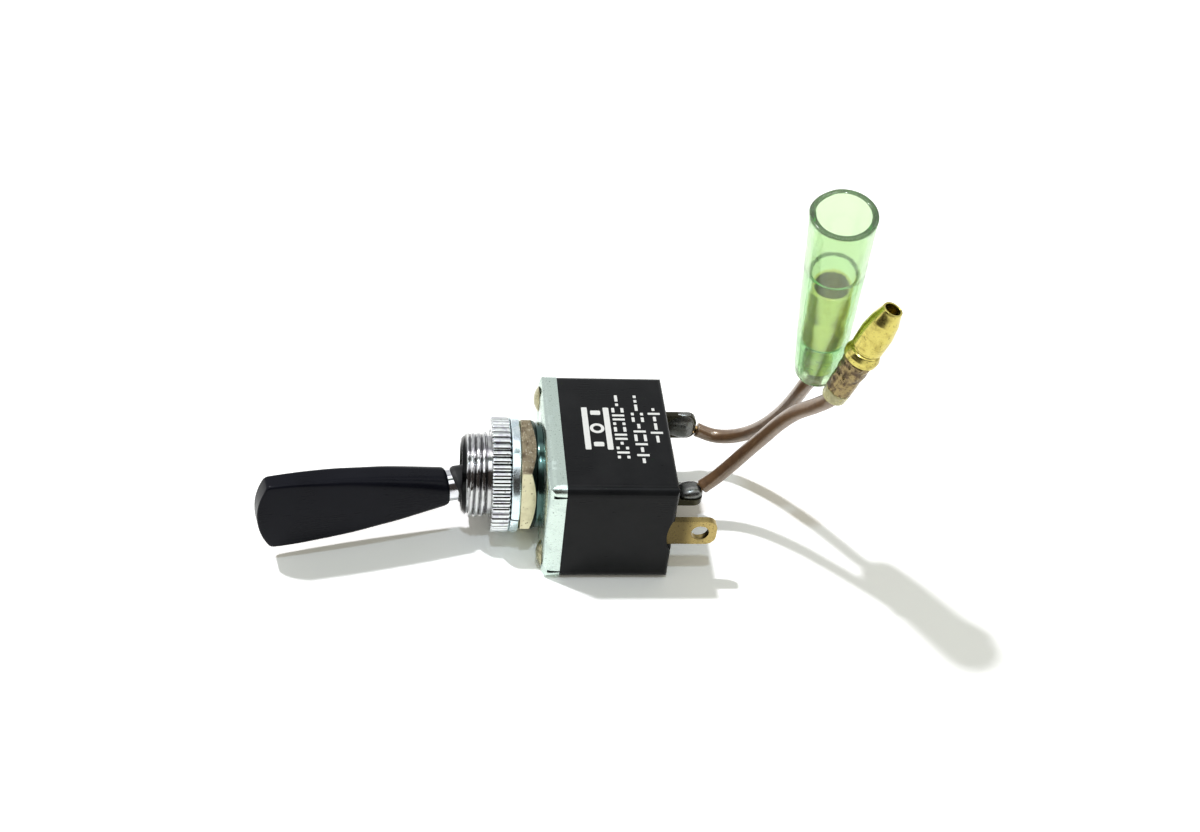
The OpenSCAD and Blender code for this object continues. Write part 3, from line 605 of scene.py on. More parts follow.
@dataclass(frozen=True)
class MetalFinish:
    """Plated or bare metal with uneven colour, fine scratches and dirt.

    `lines` stretches the scratches: the axis with the smallest number is the one that
    they run along. `root` darkens the metal nearer the first axis, fading out between
    two distances from it, beyond a station on it. Each of `shades` blends in another
    colour along an axis: its index, where the change starts and ends in mm, and the
    colour; the bushing's two are painted shade and a painted dark reflection.
    """

    name: str
    colour: Colour
    second: Colour
    rough: tuple[float, float]
    dirt: Colour = (0.02, 0.018, 0.015)
    patch: float = 2.5
    patch_share: float = 0.5
    lines: tuple[float, float, float] = (1.0, 12.0, 12.0)
    line_depth: float = 0.004
    grain: float = 0.35
    grain_depth: float = 0.004
    specks: float = 0.0
    root: tuple[float, float, float] | None = None
    shades: tuple[tuple[int, float, float, Colour], ...] = ()
    space: Space = Space.OBJECT

    def make(self) -> bpy.types.Material:
        """Returns the material."""
        r = Recipe(self.name, self.space)
        patches = r.span(r.noise(self.patch, 5.0, 0.6, 0.4), 0.5 - 0.16 * self.patch_share,
                         0.5 + 0.3 * (1.0 - self.patch_share) + 0.08)
        colour = r.blend(patches, self.colour, self.second)
        for axis, start, end, other in self.shades:
            colour = r.blend(r.span(r.part(axis), start, end), colour, other)
        lines = r.noise(1.6, 2.0, 0.7, at=r.stretch(*self.lines))
        grain = r.noise(self.grain, 4.0, 0.6)
        if self.specks > 0.0:
            spots = r.span(r.noise(0.28, 2.0, 0.5), 0.66 - 0.12 * self.specks, 0.72, 0.0,
                           0.75)
            colour = r.blend(spots, colour, self.dirt)
        if self.root is not None:
            reach = r.vector("LENGTH", r.stretch(0.0, 1.0, 1.0))
            low, high, station = self.root
            dirt = r.maths("MULTIPLY", r.span(reach, high, low),
                           r.span(r.part(0), station, station + 0.1))
            colour = r.blend(dirt, colour, self.dirt)
        rough = r.span(r.total(lines, 0.5, patches, 0.5), 0.2, 0.8, *self.rough)
        bump = r.relief(lines, self.line_depth, 0.8)
        bump = r.relief(grain, self.grain_depth, 0.8, bump)
        return r.finish(Base_Color=colour, Metallic=1.0, Roughness=rough, Normal=bump)


@dataclass(frozen=True)
class MouldedFinish:
    """Moulded black plastic or rubber with a faint skin, scuffs and dust."""

    name: str
    colour: Colour
    second: Colour
    rough: tuple[float, float]
    skin: float
    skin_depth: float
    gloss: float
    scuff: Colour = (0.09, 0.09, 0.1)
    scuff_share: float = 0.3
    waves: float = 6.0
    wave_depth: float = 0.02
    space: Space = Space.OBJECT

    def make(self) -> bpy.types.Material:
        """Returns the material."""
        r = Recipe(self.name, self.space)
        clouds = r.noise(self.waves, 3.0, 0.55)
        colour = r.blend(r.span(clouds, 0.35, 0.65), self.colour, self.second)
        hairs = r.noise(1.4, 3.0, 0.75, 0.6, at=r.stretch(0.5, 5.0, 7.0))
        scuffs = r.span(hairs, 0.76 - 0.1 * self.scuff_share, 0.82, 0.0, 0.4)
        dust = r.span(r.noise(0.16, 2.0, 0.5), 0.72, 0.78, 0.0, 0.3 * self.scuff_share)
        colour = r.blend(scuffs, colour, self.scuff)
        colour = r.blend(dust, colour, (0.3, 0.3, 0.29))
        rough = r.span(r.total(clouds, 0.6, hairs, 0.4), 0.3, 0.7, *self.rough)
        bump = r.relief(clouds, self.wave_depth, 0.6)
        bump = r.relief(r.noise(self.skin, 4.0, 0.6), self.skin_depth, 0.8, bump)
        bump = r.relief(scuffs, 0.004, 0.6, bump)
        return r.finish(Base_Color=colour, Roughness=rough, Normal=bump,
                        Specular_IOR_Level=self.gloss)


@dataclass(frozen=True)
class ClearFinish:
    """Tinted clear plastic with cloudy patches that run round it."""

    name: str
    colour: Colour
    second: Colour
    cloudy: tuple[float, float]
    clear: float = 0.9
    rough: tuple[float, float] = (0.06, 0.22)
    bend_depth: float = 0.05
    depth_colour: Colour = (0.3, 0.85, 0.38)
    depth_density: float = 200.0

    def make(self) -> bpy.types.Material:
        """Returns the material."""
        r = Recipe(self.name, Space.LOCAL)
        clouds = r.noise(2.2, 4.0, 0.6, 0.5)
        foot = r.span(r.part(2), self.cloudy[1], self.cloudy[0])
        cloud = r.maths("MULTIPLY", r.span(clouds, 0.4, 0.62), foot)
        colour = r.blend(cloud, self.colour, self.second)
        hairs = r.noise(1.0, 3.0, 0.6, at=r.stretch(6.0, 6.0, 0.6))
        rough = r.span(r.total(cloud, 0.7, hairs, 0.3), 0.1, 0.9, *self.rough)
        bump = r.relief(clouds, self.bend_depth, 0.7)
        bump = r.relief(hairs, 0.006, 0.6, bump)
        passes = r.maths("SUBTRACT", self.clear, r.maths("MULTIPLY", cloud, 0.25))
        material = r.finish(Base_Color=colour, Roughness=rough, Normal=bump, IOR=1.46,
                            Transmission_Weight=passes)
        inside, out = r.add("ShaderNodeVolumeAbsorption"), r.tree.nodes["Material Output"]
        r.feed(inside.inputs["Color"], self.depth_colour)
        r.feed(inside.inputs["Density"], self.depth_density)
        r.tree.links.new(inside.outputs[0], out.inputs["Volume"])
        return material


@dataclass(frozen=True)
class SolderFinish:
    """Dark, glossy aged solder with browned flux near the case."""

    name: str
    colour: Colour
    flux: Colour
    flux_from: float
    flux_to: float
    rough: tuple[float, float]

    def make(self) -> bpy.types.Material:
        """Returns the material."""
        r = Recipe(self.name)
        patches = r.noise(0.9, 4.0, 0.6, 0.5)
        along = r.maths("ADD", r.part(0), r.maths("MULTIPLY", patches, 1.2))
        flux = r.span(along, self.flux_to + 0.6, self.flux_from + 0.6)
        colour = r.blend(r.span(patches, 0.4, 0.7), self.colour, (0.19, 0.19, 0.18))
        colour = r.blend(flux, colour, self.flux)
        metal = r.maths("SUBTRACT", 0.85, r.maths("MULTIPLY", flux, 0.75))
        bump = r.relief(r.noise(1.6, 2.0, 0.4), 0.02, 0.5)
        return r.finish(Base_Color=colour, Metallic=metal, Normal=bump,
                        Roughness=r.span(patches, 0.3, 0.7, *self.rough))


@dataclass(frozen=True)
class LeadFinish:
    """Brown insulation: faint lengthwise drag lines, specks and worn pale streaks."""

    name: str
    colour: Colour
    second: Colour
    pale: Colour

    def make(self) -> bpy.types.Material:
        """Returns the material."""
        r = Recipe(self.name, Space.SURFACE)
        drag = r.noise(1.0, 3.0, 0.6, at=r.stretch(24.0, 0.25, 1.0))
        blots = r.noise(1.0, 4.0, 0.65, 0.4, at=r.stretch(3.0, 0.6, 1.0))
        colour = r.blend(r.span(blots, 0.38, 0.66), self.colour, self.second)
        colour = r.blend(r.span(drag, 0.6, 0.8, 0.0, 0.35), colour, self.pale)
        specks = r.noise(1.0, 2.0, 0.5, at=r.stretch(26.0, 4.0, 1.0))
        colour = r.blend(r.span(specks, 0.7, 0.78, 0.0, 0.5), colour, (0.05, 0.035, 0.025))
        bump = r.relief(drag, 0.02, 0.6)
        bump = r.relief(blots, 0.05, 0.5, bump)
        return r.finish(Base_Color=colour, Normal=bump,
                        Roughness=r.span(blots, 0.3, 0.7, 0.28, 0.4),
                        Specular_IOR_Level=1.0, Specular_Tint=(1.0, 0.82, 0.55),
                        Coat_Weight=0.6, Coat_Roughness=0.25, Coat_IOR=1.9)


@dataclass(frozen=True)
class InkFinish:
    """Printed white ink, slightly thin and worn in places."""

    name: str
    colour: Colour
    thin: Colour

    def make(self) -> bpy.types.Material:
        """Returns the material."""
        r = Recipe(self.name)
        worn = r.span(r.noise(0.35, 4.0, 0.7), 0.6, 0.72, 0.0, 0.55)
        grain = r.noise(0.1, 2.0, 0.5)
        colour = r.blend(worn, self.colour, self.thin)
        return r.finish(Base_Color=colour, Roughness=r.span(grain, 0.3, 0.7, 0.45, 0.6),
                        Normal=r.relief(grain, 0.003, 0.6))


def coat(obj: Piece, material: bpy.types.Material) -> Piece:
    """Gives a piece its material."""
    obj.data.materials.clear()
    obj.data.materials.append(material)
    return obj


def carried(pieces: list[Piece],
            body: str = "switch_body") -> list[Piece]:
    """Lets each piece ride a body, and returns the pieces."""
    for piece in pieces:
        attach(piece, body)
    return pieces


class Finishes:
    """All the finishes of the switch, made once."""

    def __init__(self) -> None:
        """Makes every material."""
        self.paddle = MouldedFinish(
            "paddle_plastic", (0.0045, 0.005, 0.0085), (0.0065, 0.007, 0.0115),
            scuff=(0.04, 0.045, 0.055), scuff_share=0.2, rough=(0.24, 0.34), skin=0.8,
            skin_depth=0.004, waves=9.0, wave_depth=0.03, gloss=0.09,
            space=Space.LOCAL).make()
        self.case = MouldedFinish(
            "phenolic", (0.008, 0.0085, 0.0095), (0.0115, 0.012, 0.013), scuff_share=0.4,
            rough=(0.26, 0.36), skin=0.4, skin_depth=0.004, waves=5.0, wave_depth=0.02,
            gloss=0.12).make()
        self.rubber = MouldedFinish(
            "rubber", (0.008, 0.008, 0.009), (0.014, 0.014, 0.014), rough=(0.45, 0.6),
            skin=0.2, skin_depth=0.015, gloss=0.35).make()
        self.chrome = MetalFinish(
            "chrome_thread", (0.62, 0.63, 0.63), (0.5, 0.49, 0.51),
            dirt=(0.05, 0.045, 0.05), patch=1.6, rough=(0.12, 0.24),
            lines=(0.4, 3.0, 3.0), line_depth=0.002, grain_depth=0.002,
            root=(5.52, 5.68, -9.1),
            # painted shade: the shoulder next to the cover is blended to a dark teal
            shades=((0, -0.1, 0.0, (0.06, 0.11, 0.1)),
                    # painted dark reflection: the nose's bevel is blended to near black
                    (0, -9.25, -9.45, (0.014, 0.015, 0.015)))).make()
        self.ring = MetalFinish(
            "nickel_ring", (0.74, 0.78, 0.77), (0.56, 0.55, 0.62), dirt=(0.02, 0.02, 0.02),
            patch=1.2, rough=(0.05, 0.12), grain_depth=0.003, specks=0.1,
            root=(7.6, 7.8, -7.0)).make()
        self.washer = MetalFinish(
            "zinc_blue", (0.72, 0.86, 0.9), (0.8, 0.88, 0.9), dirt=(0.12, 0.13, 0.12),
            patch=1.8, rough=(0.2, 0.36), lines=(14.0, 1.0, 1.0), specks=0.2).make()
        self.hexagon = MetalFinish(
            "pale_brass", (0.64, 0.61, 0.41), (0.56, 0.52, 0.34), dirt=(0.1, 0.07, 0.04),
            patch=2.2, patch_share=0.6, rough=(0.3, 0.5), lines=(9.0, 1.2, 1.2),
            line_depth=0.02, grain=0.2, grain_depth=0.012, specks=0.2).make()
        self.scuffed = MetalFinish(
            "scuffed_brass", (0.2, 0.17, 0.11), (0.1, 0.075, 0.05), dirt=(0.5, 0.48, 0.38),
            patch=0.9, patch_share=0.6, rough=(0.42, 0.7), lines=(9.0, 1.2, 1.2),
            line_depth=0.05, grain=0.25, grain_depth=0.05, specks=0.7).make()
        # painted shade for the hexagon nut's rear chamfers, which face the cover
        self.chamfer_shade = MetalFinish(
            "painted_shade_chamfer", (0.05, 0.06, 0.05), (0.025, 0.035, 0.03), patch=1.0,
            rough=(0.35, 0.5)).make()
        self.cover = MetalFinish(
            "zinc_sheet", (0.62, 0.73, 0.665), (0.55, 0.65, 0.6), dirt=(0.2, 0.24, 0.22),
            patch=1.8, rough=(0.24, 0.4), lines=(1.2, 9.0, 9.0), line_depth=0.005,
            grain=0.6, grain_depth=0.002, specks=0.1).make()
        self.rivet = MetalFinish(
            "rivet_brass", (0.4, 0.38, 0.24), (0.28, 0.26, 0.15), rough=(0.2, 0.4),
            patch=1.0, specks=0.3).make()
        self.tab = MetalFinish(
            "tab_brass", (0.42, 0.32, 0.12), (0.3, 0.23, 0.09), dirt=(0.04, 0.03, 0.018),
            patch=1.8, patch_share=0.5, rough=(0.24, 0.42), lines=(1.0, 9.0, 9.0),
            line_depth=0.01, grain=0.2, grain_depth=0.008, specks=0.25,
            shades=((0, 22.2, 19.4, (0.1, 0.075, 0.03)),)).make()
        self.fluxed = MetalFinish(
            "fluxed_brass", (0.05, 0.047, 0.028), (0.03, 0.027, 0.018), patch=1.0,
            rough=(0.18, 0.34), grain_depth=0.006).make()
        self.steel = MetalFinish(
            "turned_steel", (0.74, 0.75, 0.78), (0.56, 0.56, 0.6), rough=(0.1, 0.24),
            lines=(12.0, 1.0, 1.0), space=Space.LOCAL).make()
        self.spring = MetalFinish(
            "spring_wire", (0.56, 0.57, 0.6), (0.4, 0.4, 0.42), rough=(0.2, 0.34)).make()
        self.silver = MetalFinish(
            "silver", (0.83, 0.82, 0.79), (0.6, 0.57, 0.5), rough=(0.15, 0.3)).make()
        self.solder = SolderFinish(
            "solder", (0.16, 0.165, 0.155), (0.05, 0.05, 0.03), 19.8, 21.2,
            rough=(0.2, 0.34)).make()
        self.copper = MetalFinish(
            "copper_strands", (0.72, 0.5, 0.24), (0.45, 0.3, 0.16), patch=0.8,
            rough=(0.22, 0.4)).make()
        self.lead = LeadFinish(
            "pvc_lead", (0.19, 0.105, 0.052), (0.14, 0.075, 0.04),
            (0.45, 0.32, 0.2)).make()
        self.sleeve = ClearFinish(
            "green_clear", (0.86, 0.96, 0.72), (0.84, 0.94, 0.7), cloudy=(0.0, 14.0),
            bend_depth=0.03).make()
        self.bullet = MetalFinish(
            "bullet_gold", (0.62, 0.54, 0.15), (0.4, 0.33, 0.08), dirt=(0.06, 0.045, 0.015),
            patch=1.5, rough=(0.2, 0.34), lines=(1.0, 1.0, 10.0), grain_depth=0.004,
            specks=0.2, space=Space.LOCAL).make()
        self.crimp = MetalFinish(
            "crimp_brass", (0.3, 0.23, 0.11), (0.1, 0.07, 0.05), dirt=(0.03, 0.02, 0.012),
            patch=0.9, patch_share=0.7, rough=(0.22, 0.5), grain=0.25, grain_depth=0.03,
            specks=0.8, space=Space.LOCAL).make()
        self.socket = MetalFinish(
            "socket_brass", (0.95, 0.85, 0.4), (0.85, 0.72, 0.3), patch=1.4,
            rough=(0.3, 0.45), lines=(8.0, 8.0, 0.8), space=Space.LOCAL).make()
        self.collar = ClearFinish(
            "cream_clear", (0.88, 0.85, 0.5), (0.82, 0.78, 0.42), cloudy=(0.0, 3.0),
            clear=0.5, rough=(0.14, 0.3), depth_colour=(0.8, 0.7, 0.4)).make()
        self.ink = InkFinish("white_ink", (0.86, 0.87, 0.86), (0.3, 0.31, 0.32)).make()


# ---- Lever ---------------------------------------------------------------------------

@dataclass
class Lever:
    """The paddle, its steel shaft with the ball, and the rubber seal."""

    pivot: float = -1.8
    tilt: float = 13.0
    root: float = 10.5
    length: float = 25.8
    root_half: tuple[float, float] = (2.35, 2.5)
    tip_half: tuple[float, float] = (5.55, 1.35)
    crown: float = 1.7
    edge: float = 0.42
    bow: float = 0.09
    ball: float = 3.5
    shaft_end: float = 20.82
    seal_reach: float = 9.1
    seal_thick: float = 1.4

    def place(self) -> Place:
        """The lever's frame: -X runs out along the paddle."""
        return Place.turned((self.pivot, 0.0, 0.0), self.tilt)

    def sections(self, t: Array) -> Array:
        """The paddle's cross-sections.

        The half width grows as 1 - (1 - t)^1.9 from root to tip, the half thickness
        shrinks evenly, and the corner radius shrinks towards the tip. Each face is
        crowned by a little: the offset is a cosine over the face's width.

        Args:
            t: Shares of the length, shape (k,).

        Returns:
            Loops of (y, z), shape (k, n, 2).
        """
        width = self.root_half[0] + (self.tip_half[0] - self.root_half[0]) * (
            1 - (1 - t) ** 1.9)
        thick = self.root_half[1] + (self.tip_half[1] - self.root_half[1]) * t
        corner = np.minimum(0.48 + 1.5 * (1.0 - t) ** 1.5, thick - 0.4)
        loops = round_loop(thick, width, corner, 9, 11)
        across = np.clip(loops[..., 1] / width[:, None], -1, 1)
        sink = self.bow * (1.0 - np.cos(0.5 * np.pi * across))
        loops[..., 0] -= sink * loops[..., 0] / thick[:, None]
        return loops

    def paddle(self) -> Piece:
        """Lofts the paddle from root to crowned tip.

        A loop at share t lies at root + t (end(z) - root), where end(z) is the arc of
        the crowned tip, so the loops bend into the crown. At the tip the loops close by
        a quarter-round edge and then shrink to a pole along the crown.
        """
        half, crown = self.tip_half[0], self.crown
        radius = (half**2 + crown**2) / (2 * crown)
        last = self.root + self.length

        def end(z: Array) -> Array:
            """Reach of the crowned tip at height z."""
            return last - radius + np.sqrt(radius**2 - np.clip(z, -half, half) ** 2)

        t = np.concatenate([[0.0, 0.004, 0.01, 0.02], np.linspace(0.04, 1.0, 46)])
        loops = self.sections(t)
        root_round = np.array([0.3, 0.14, 0.05, 0.0])
        loops[:4] *= 1.0 - (root_round / 2.5)[:, None, None]
        share = t[:, None]
        reach = self.root + share * (end(loops[..., 1]) - self.edge - self.root)
        rings = [np.stack([-reach, loops[..., 0], loops[..., 1]], -1)]
        tip = loops[-1]
        inward = tip / np.linalg.norm(tip, axis=1, keepdims=True)
        for a in np.radians([22.0, 45.0, 68.0, 90.0]):
            ring = tip - inward * self.edge * (1 - np.cos(a)) * np.array([1.0, 0.8])
            out = end(ring[:, 1]) - self.edge * (1 - np.sin(a))
            rings.append(np.stack([-out, ring[:, 0], ring[:, 1]], -1)[None])
        for scale in (0.9, 0.7, 0.45, 0.2, 0.05):
            ring = (tip - inward * self.edge * np.array([1.0, 0.8])) * scale
            rings.append(np.stack([-end(ring[:, 1]), ring[:, 0], ring[:, 1]], -1)[None])
        skin = np.concatenate(rings)
        skin += 0.012 * soft_noise(skin, 7.0, 3)[..., None]
        obj = ringed("paddle", skin, self.place(), crease=50.0)
        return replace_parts(obj, "lever_handle")

    def shaft(self) -> Piece:
        """Turns the shaft: tang, neck with a groove for the seal, ball and bored stem."""
        a = np.radians(np.linspace(142.0, 36.0, 28))
        sphere = self.ball * np.stack([np.cos(a), np.sin(a)], 1)
        inner = self.seal_thick - self.seal_reach
        end = -self.shaft_end
        head = [(end, 0.05), (end, 1.5), (-self.root, 1.5), (-self.root, 2.2),
                (-self.seal_reach, 2.2), (-self.seal_reach, 1.8), (inner, 1.8),
                (inner, 2.2)]
        tail = [(8.6, 2.0), (8.6, 1.2), (1.6, 1.2), (1.6, 0.05)]
        outline = np.concatenate([np.array(head), sphere, np.array(tail)])
        obj = turned("lever_steel", refined(outline, 0.7), self.place(), 72, crease=30.0)
        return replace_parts(obj, "lever_shaft")

    def seal(self) -> Piece:
        """Turns the rubber seal, which is pushed out of the mouth above the neck.

        A point at angle a moves out by 0.8 mm times the sine of a where that is above
        nought, times its share of the way from the seal's inner end.
        """
        u, v = -self.seal_reach, self.seal_thick - self.seal_reach
        outline = softened([(u, 1.82), (u, 2.36), (u + 0.3, 2.6), (v - 0.2, 2.6),
                            (v, 2.45), (v, 1.82)], [0.0, 0.12, 0.2, 0.2, 0.1, 0.0])
        outline = refined(outline, 0.2)
        angle = np.arange(72)[None, :] * TAU / 72
        along, radius = outline[:, :1] + 0 * angle, outline[:, 1:] + 0 * angle
        share = (v - along) / self.seal_thick
        along = along - 0.8 * share * np.clip(np.sin(angle), 0.0, 1.0)
        radius = radius + 0.04 * (radius > 2.2) * np.sin(5 * angle + 0.7)
        obj = ringed("neck_seal", spun(along, radius, angle), self.place(), closed=True)
        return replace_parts(obj, "lever_seal")

    def build(self, finishes: Finishes) -> list[Piece]:
        """Makes and dresses the lever's pieces."""
        return carried([coat(self.paddle(), finishes.paddle),
                        coat(self.shaft(), finishes.steel),
                        coat(self.seal(), finishes.rubber)], "lever")


# ---- Bushing, nuts and washer ---------------------------------------------------------

@dataclass
class Bushing:
    """The threaded bushing with its mouth, shoulder and spun lip."""

    radius: float = 5.95
    pitch: float = 0.794
    depth: float = 0.4
    groove: tuple[float, float] = (-6.55, -6.0)
    nose: float = -9.05
    end: float = -10.0

    def thread(self, along: Array, radius: Array, angle: Array) -> Array:
        """Depth of the helical thread.

        The phase is along / pitch + angle / turn. The profile is a triangle wave with
        its crest flattened and its root rounded, and it fades out at the shoulder and
        into the bevelled nose.

        Args:
            along: Station in mm.
            radius: Radius of the plain outline in mm.
            angle: Angle in radians.

        Returns:
            What is added to the radius, in mm.
        """
        phase = (along / self.pitch + angle / TAU) % 1.0
        tooth = np.clip(1.7 * (1.0 - np.abs(2.0 * phase - 1.0)) - 0.12, 0.0, 1.0)
        tooth = tooth * tooth * (3 - 2 * tooth) * 0.5 + tooth * 0.5
        on = (radius > 5.2) & (along < -0.05) & (radius < 6.0)
        fade = np.clip((-0.05 - along) / 0.4, 0, 1)
        nose = np.clip((radius - 5.35) / 0.35, 0.0, 1.0)
        middle, half = sum(self.groove) / 2, (self.groove[1] - self.groove[0]) / 2
        nose *= np.clip((np.abs(along - middle) - half) / 0.1, 0.0, 1.0)
        dents = 0.02 * soft_noise(spun(along, radius, angle), 1.1, 11)
        cut = self.depth * (1.0 - tooth) - dents * tooth
        return np.where(on, -cut * fade * nose, 0.0)

    def build(self, finishes: Finishes) -> Piece:
        """Turns the bushing and cuts its thread."""
        (left, right), r = self.groove, self.radius
        corners = [(self.nose, r), (left, r), (left, r - 0.3), (right, r - 0.3),
                   (right, r), (0.0, r), (0.0, 7.35), (0.9, 7.35), (0.9, 6.4),
                   (1.7, 6.4), (1.7, 6.9), (2.5, 6.9), (2.5, 4.85), (-2.65, 4.85),
                   (-2.65, 3.55), (-3.1, 3.41), (-3.57, 3.2), (-8.1, 4.35),
                   (self.end, 4.7), (self.end, 5.0)]
        rounds = [0.12, 0.05, 0.05, 0.05, 0.05, 0.0, 0.2, 0.05, 0.0, 0.0, 0.15, 0.1, 0.1,
                  0.0, 0.1, 0.1, 0.08, 0.15, 0.1, 0.12]
        outline = refined(softened(corners, rounds), 0.085)
        inside = (outline[:, 1] < 4.86) | (outline[:, 0] > 0.1)
        keep = ~inside | (np.arange(len(outline)) % 4 == 0)
        obj = turned("bushing_turned", outline[keep], HOME, 144, self.thread, crease=50.0)
        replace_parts(obj, "bushing")
        coat(obj, finishes.chrome)
        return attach(obj, "switch_body")


@dataclass
class Stack:
    """Ring nut, split lock washer and hexagon nut on the thread."""

    bore: float = 6.0
    ring: tuple[float, float] = (-6.0, -3.5)
    ring_radius: float = 7.95
    flutes: int = 48
    flute_depth: float = 0.4
    washer: tuple[float, float] = (-3.4, -2.2)
    washer_radius: float = 8.05
    split: float = 0.25
    split_angle: float = -8.0

    def ring_nut(self) -> Piece:
        """Turns the ring nut: the radius at its rim loses d (1 - |sin(n a / 2)|^0.5)."""
        a, b, r = *self.ring, self.ring_radius
        outline = softened([(a, self.bore + 0.25), (a, r - 0.16), (a + 0.14, r),
                            (b - 0.14, r), (b, r - 0.16), (b, self.bore + 0.25),
                            (b - 0.3, self.bore), (a + 0.3, self.bore)],
                           [0.1, 0.06, 0.06, 0.06, 0.06, 0.1, 0.05, 0.05])

        def flute(along: Array, radius: Array, angle: Array) -> Array:
            """What the flutes take from the radius."""
            rim = np.clip((radius - (r - 0.5)) / 0.45, 0.0, 1.0)
            rib = np.abs(np.sin(0.5 * self.flutes * angle)) ** 0.5
            uneven = 1.0 + 0.12 * np.sin(3 * angle + 1.0) + 0.08 * np.sin(7 * angle)
            return -self.flute_depth * uneven * (1.0 - rib) * rim

        obj = turned("ring_nut_fluted", refined(outline, 0.3), HOME, self.flutes * 12,
                     flute, crease=60.0)
        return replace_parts(obj, "ring_nut")

    def lock_washer(self) -> Piece:
        """Sweeps the washer's section from one lip of the split round to the other.

        The angle of a section point is that of the split, plus its share of the turn,
        plus a skew that grows with the point's station, so the split leans.
        """
        a, b, r = *self.washer, self.washer_radius
        section = refined(softened([(a, self.bore + 0.02), (a, r), (b, r),
                                    (b, self.bore + 0.02)], [0.1, 0.22, 0.22, 0.1]), 0.35)
        gap = self.split / r
        share = np.linspace(0.0, 1.0, 161)[:, None]
        skew = np.tan(np.radians(10.0)) * (section[:, 0] - (a + b) / 2) / r
        angle = (np.pi - np.radians(self.split_angle) + gap / 2 + share * (TAU - gap)
                 + skew[None, :])
        lift = 0.05 * (share - 0.5)
        rings = spun(section[None, :, 0] + lift, section[None, :, 1], angle)
        obj = ringed("lock_washer_split", rings, crease=45.0)
        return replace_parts(obj, "lock_washer")

    def hexagon(self, frame: dict, finishes: Finishes) -> Piece:
        """The hexagon nut: its top facet is scuffed and its rear chamfers are painted dark
        as shade.

        A face belongs to the top facet where its normal's height is over 0.68, and to a
        chamfer where its normal leans back by more than 0.3.
        """
        obj = coat(softened_copy(frame, "hex_nut", 0.14, 3), finishes.hexagon)
        mesh = obj.data
        for finish in (finishes.scuffed, finishes.chamfer_shade):
            mesh.materials.append(finish)
        normals = np.zeros(3 * len(mesh.polygons))
        mesh.polygons.foreach_get("normal", normals)
        normals = normals.reshape(-1, 3)
        index = np.where(normals[:, 2] > 0.68, 1, 0)
        # the rear chamfers take the painted shade
        index = np.where((normals[:, 0] > 0.3) & (normals[:, 0] < 0.95), 2, index)
        mesh.polygons.foreach_set("material_index", index.astype(np.int32))
        return obj

    def build(self, frame: dict, finishes: Finishes) -> list[Piece]:
        """Makes and dresses the three pieces."""
        return carried([coat(self.ring_nut(), finishes.ring),
                        coat(self.lock_washer(), finishes.washer),
                        self.hexagon(frame, finishes)])


# ---- Case, cover and print -------------------------------------------------------------

@dataclass
class Marks:
    """Plain printed marks on the top: a ring among four bars, and three rows of dashes."""

    height: float = 8.35
    thick: float = 0.015
    sunk: float = 0.02
    bar: float = 0.42
    gap: float = 0.42
    ring_at: tuple[float, float] = (8.25, 0.35)
    ring_radii: tuple[float, float] = (1.0, 0.55)
    rows: tuple[tuple[float, float, float], ...] = (
        (11.4, -6.6, 7.4), (14.05, -6.7, 7.4), (16.4, -3.1, 4.7))
    tall: float = 1.7

    def plate(self, x: float, wide: float, y0: float, y1: float,
              r: float = 0.08) -> Array:
        """The outline of a rounded rectangle.

        Args:
            x: Its middle along X, in mm.
            wide: Its size along X.
            y0: Where it starts along Y.
            y1: Where it ends along Y.
            r: Radius of its corners.

        Returns:
            The outline's points, shape (n, 2).
        """
        half_x, half_y = wide / 2, (y1 - y0) / 2
        loop = round_loop(np.array([half_x]), np.array([half_y]),
                          np.array([min(r, half_x, half_y) * 0.98]), 4, 0)[0]
        return loop + np.array([x, (y0 + y1) / 2])

    def solid(self, loop: Array, offset: int) -> tuple[Array, list]:
        """A thin prism over an outline, with its faces' indices raised by `offset`."""
        n = len(loop)
        low = np.column_stack([loop, np.full(n, self.height - self.sunk)])
        high = np.column_stack([loop, np.full(n, self.height + self.thick)])
        k = np.arange(n)
        after = (k + 1) % n
        sides = np.stack([k, after, after + n, k + n], 1) + offset
        faces = sides.tolist() + [(k[::-1] + offset).tolist(), (k + n + offset).tolist()]
        return np.concatenate([low, high]), faces

    def outlines(self) -> list[Array]:
        """All the marks' outlines, in order."""
        loops = [self.plate(x, 0.8, -4.0, 4.7, 0.15) for x in (6.75, 9.75)]
        loops += [self.plate(self.ring_at[0], 1.4, y - 0.45, y + 0.45, 0.2)
                  for y in (-2.9, 3.6)]
        rng = np.random.default_rng(5)
        edge = (self.tall - self.bar) / 2
        for x, y0, y1 in self.rows:
            y = y1
            while y - 0.9 > y0:
                long = float(rng.choice([0.55, 0.95, 1.35]))
                long = min(long, y - y0)
                kind = int(rng.integers(0, 3))
                if kind == 0:
                    long = self.bar
                wide = self.tall if kind == 0 else self.bar
                loops += [self.plate(x + shift, wide, y - long, y)
                          for shift in ((edge, -edge) if kind == 1 else (0.0,))]
                y -= long + self.gap
        return loops

    def ring(self, offset: int) -> tuple[Array, list]:
        """A flat ring in the middle of the first group, as four loops skinned together."""
        around = 40
        a = np.arange(around) * TAU / around
        (x, y), (wide, narrow) = self.ring_at, self.ring_radii
        loops = [np.column_stack([x + r * np.cos(a), y + r * np.sin(a),
                                  np.full(around, self.height + z)])
                 for r, z in ((wide, -self.sunk), (wide, self.thick),
                              (narrow, self.thick), (narrow, -self.sunk))]
        return np.concatenate(loops), (grid_faces(4, around, True, True) + offset).tolist()

    def build(self, finishes: Finishes) -> Piece:
        """Prints the marks as one thin piece."""
        points, faces, count = [], [], 0
        for loop in self.outlines():
            p, f = self.solid(loop, count)
            points.append(p)
            faces += f
            count += len(p)
        p, f = self.ring(count)
        points.append(p)
        obj = mesh_object("printed_marks", np.concatenate(points), faces + f, HOME, 30.0)
        coat(obj, finishes.ink)
        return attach(obj, "switch_body")


